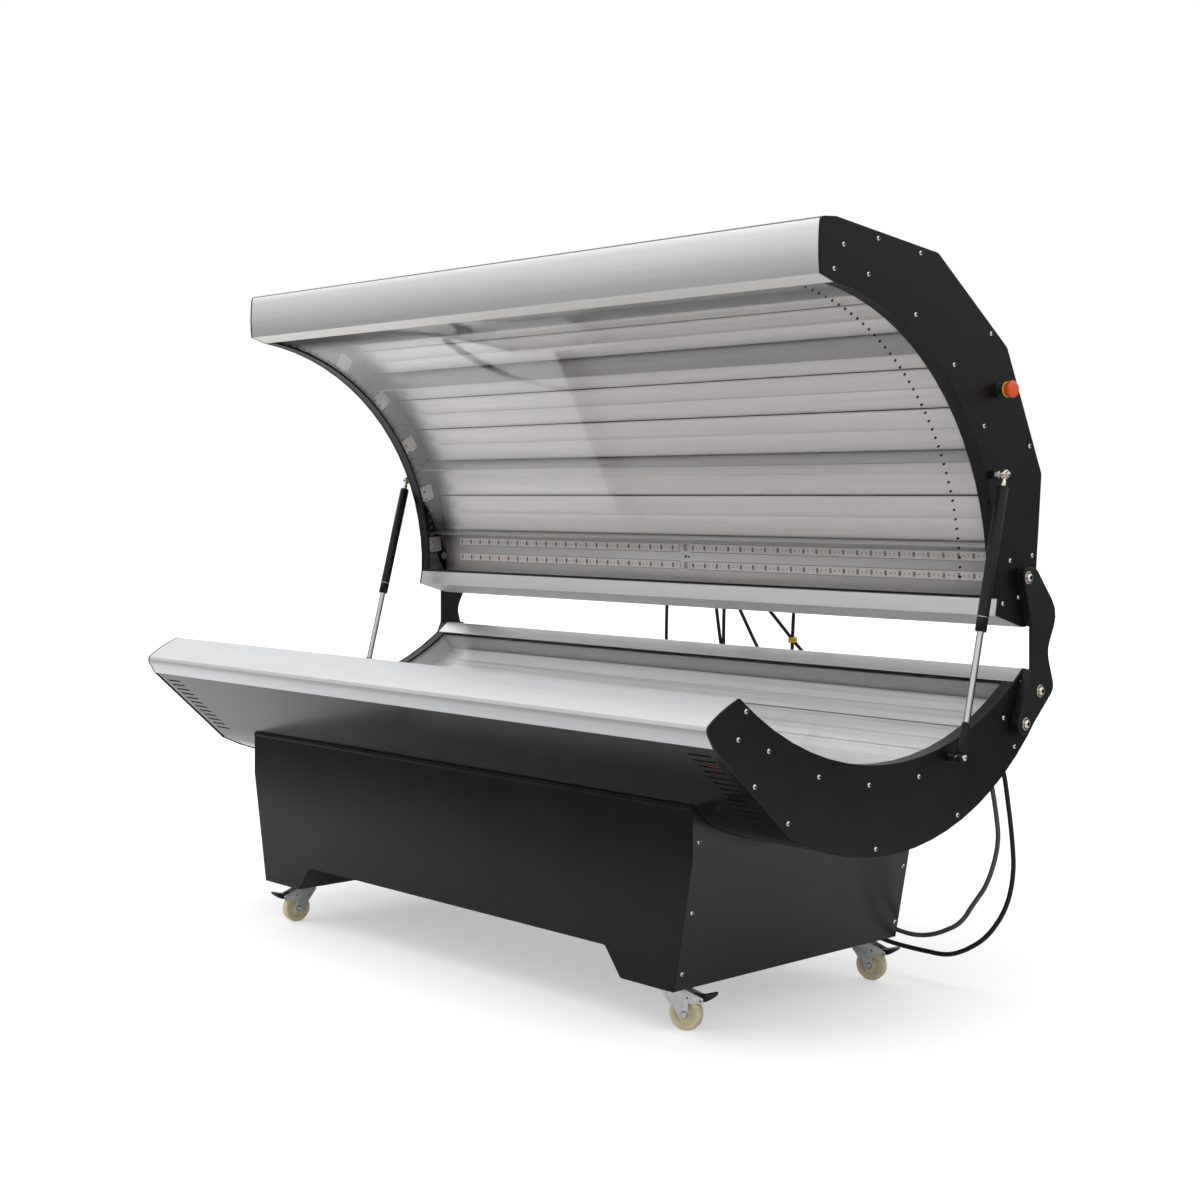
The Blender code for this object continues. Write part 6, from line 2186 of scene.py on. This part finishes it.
@dataclass
class Cabinet:
    """The base's folded panels, the panel under the bed and the canopy's back cover.

    Attributes:
        screws: The screws to use.
        edge: Rounding of folded edges.
        thin_edge: Rounding of the edges of thin pieces.
        end_screws: Screws of an end panel as (y, z).
        fold: Height of the end panels' fold.
        halves: Half lengths at the bottom and above the fold.
        bottom: Height of the bottom.
        vent_x: Middle of the right vent slots along the bed.
        vent_start: Distance of the first slot down the slope.
        vent_pitch: Distance between slots.
        slope: Upper and lower end of the slope under the front rail, as (y, z).
        lamp: Width, height and corner radius of the indicator lamp.
        lamp_slot: Its place down the slope, in slots.
        lamp_depth: Its depth behind the slope.
        seal: Outline of the seal between base and slope, as (y, z).
        cover_screw_xs: Places of the back cover's screws along the bed.
        cover_screw_points: Place and outward way of each row of them, as (y, z).
    """

    screws: Screws
    edge: float = 0.0008
    thin_edge: float = 0.0004
    end_screws: tuple[Flat, ...] = (
        (-0.359, 0.438), (-0.356, 0.282), (-0.360, 0.146), (0.366, 0.286), (0.368, 0.147))
    fold: float = 0.403
    halves: Flat = (0.802, 0.860)
    bottom: float = 0.108
    vent_x: float = 1.0322
    vent_start: float = 0.032
    vent_pitch: float = 0.0195
    slope: tuple[Flat, Flat] = ((-0.559, 0.677), (-0.337, 0.4745))
    lamp: Triple = (0.026, 0.013, 0.005)
    lamp_slot: float = 2.9
    lamp_depth: float = 0.009
    seal: tuple[Flat, ...] = ((-0.3818, 0.5052), (-0.3800, 0.5052), (-0.3800, 0.5102), (-0.3818, 0.5118))
    cover_screw_xs: tuple[float, ...] = (-1.075, -0.72, -0.36, 0.0, 0.36, 0.72, 1.075)
    cover_screw_points: tuple[tuple[Flat, Flat], ...] = (
        ((0.130, 1.7234), (0.134, 0.991)), ((0.190, 1.6950), (0.603, 0.798)),
        ((0.400, 1.5360), (0.603, 0.798)), ((0.432, 1.4930), (0.905, 0.426)),
        ((0.545, 1.2550), (0.905, 0.426)), ((0.5553, 1.2100), (0.995, -0.095)),
        ((0.5385, 1.0350), (0.995, -0.095)))

    def build(self) -> None:
        """Dress all panels."""
        for node, finish, slot in (("base_front_panel", PANEL_BLACK, Slot.GLOSS_SHEET),
                                   ("base_rear_panel", CABINET_BLACK, Slot.BLACK_SHEET),
                                   ("base_end_left", CABINET_BLACK, Slot.BLACK_SHEET),
                                   ("base_end_right", CABINET_BLACK, Slot.BLACK_SHEET),
                                   ("base_floor", CABINET_BLACK, Slot.BLACK_SHEET),
                                   ("power_supply", SUPPLY_METAL, Slot.SUPPLY_CASE)):
            refine(node, f"{node}_sheet", finish, Body.BED.value, slot, self.edge)
        refine("bed_under_panel", "bed_under_panel_sheet", GLOSS_BLACK, Body.BED.value, Slot.GLOSS_SHEET,
               self.thin_edge)
        refine("canopy_back_cover", "canopy_back_cover_sheet", SATIN_BLACK, Body.CANOPY.value,
               Slot.BLACK_SHEET, self.edge)
        for side in Side:
            frames = [self.on_end(side, y, z) for y, z in self.end_screws]
            self.screws.row(f"base_screws_{side.word}", frames, Body.BED.value)
        frames = [along((x, *point), (0.0, *way))
                  for point, way in self.cover_screw_points for x in self.cover_screw_xs]
        self.screws.row("back_cover_screws", frames, Body.CANOPY.value)
        self.indicator()
        half = self.halves[1]
        shape = Shape().use(GASKET_AND_HOLE_SHADE).prism(self.seal, -half, half).soften(self.thin_edge)
        shape.fit("base_seal", Body.BED.value, Slot.BLACK_SHEET)

    def on_end(self, side: Side, y: float, z: float) -> Matrix:
        """The frame of a screw on an end panel of the base.

        Args:
            side: Which end.
            y: Its depth.
            z: Its height.

        Returns:
            A frame whose Z points out of the panel.
        """
        low, high = self.halves
        lean = (high - low) / (self.fold - self.bottom)
        x = high if z >= self.fold else low + lean * (z - self.bottom)
        out = Vector((side.value, 0.0, 0.0 if z >= self.fold else -lean)).normalized()
        return along((side.value * x, y, z), out)

    def indicator(self) -> None:
        """The small red lamp behind the third and fourth vent slots on the right."""
        start, end = (Vector(p) for p in self.slope)
        way = (end - start).normalized()
        inside = Vector((-way.y, way.x))
        down = self.vent_start + self.lamp_slot * self.vent_pitch
        spot = start + way * down + inside * self.lamp_depth
        place = Matrix(((1, 0, 0, self.vent_x - 0.004), (0, way.x, -inside.x, spot.x),
                        (0, way.y, -inside.y, spot.y), (0, 0, 0, 1)))
        shape = Shape().use(GLOW_RED).prism(box_outline(*self.lamp), -0.004, 0.002, place).soften(0.0012)
        shape.fit("indicator_lamp", Body.BED.value, Slot.STOP_RED)


def main() -> None:
    """Dress the bed, piece by piece."""
    logging.basicConfig(level=logging.INFO, format="%(name)s: %(message)s")
    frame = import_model()
    joints = frame["joints"]
    screws = Screws()
    Studio().build()
    for assembly in (Cords(), EndPlates(screws), EndLiners(), Rails(), ClearSheets(), LedPanels(),
                     Hinges(screws), GasStruts(joints), EmergencyStop(), Casters(joints), Cabinet(screws)):
        LOG.info("building %s", type(assembly).__name__)
        assembly.build()


if __name__ == "__main__":
    main()
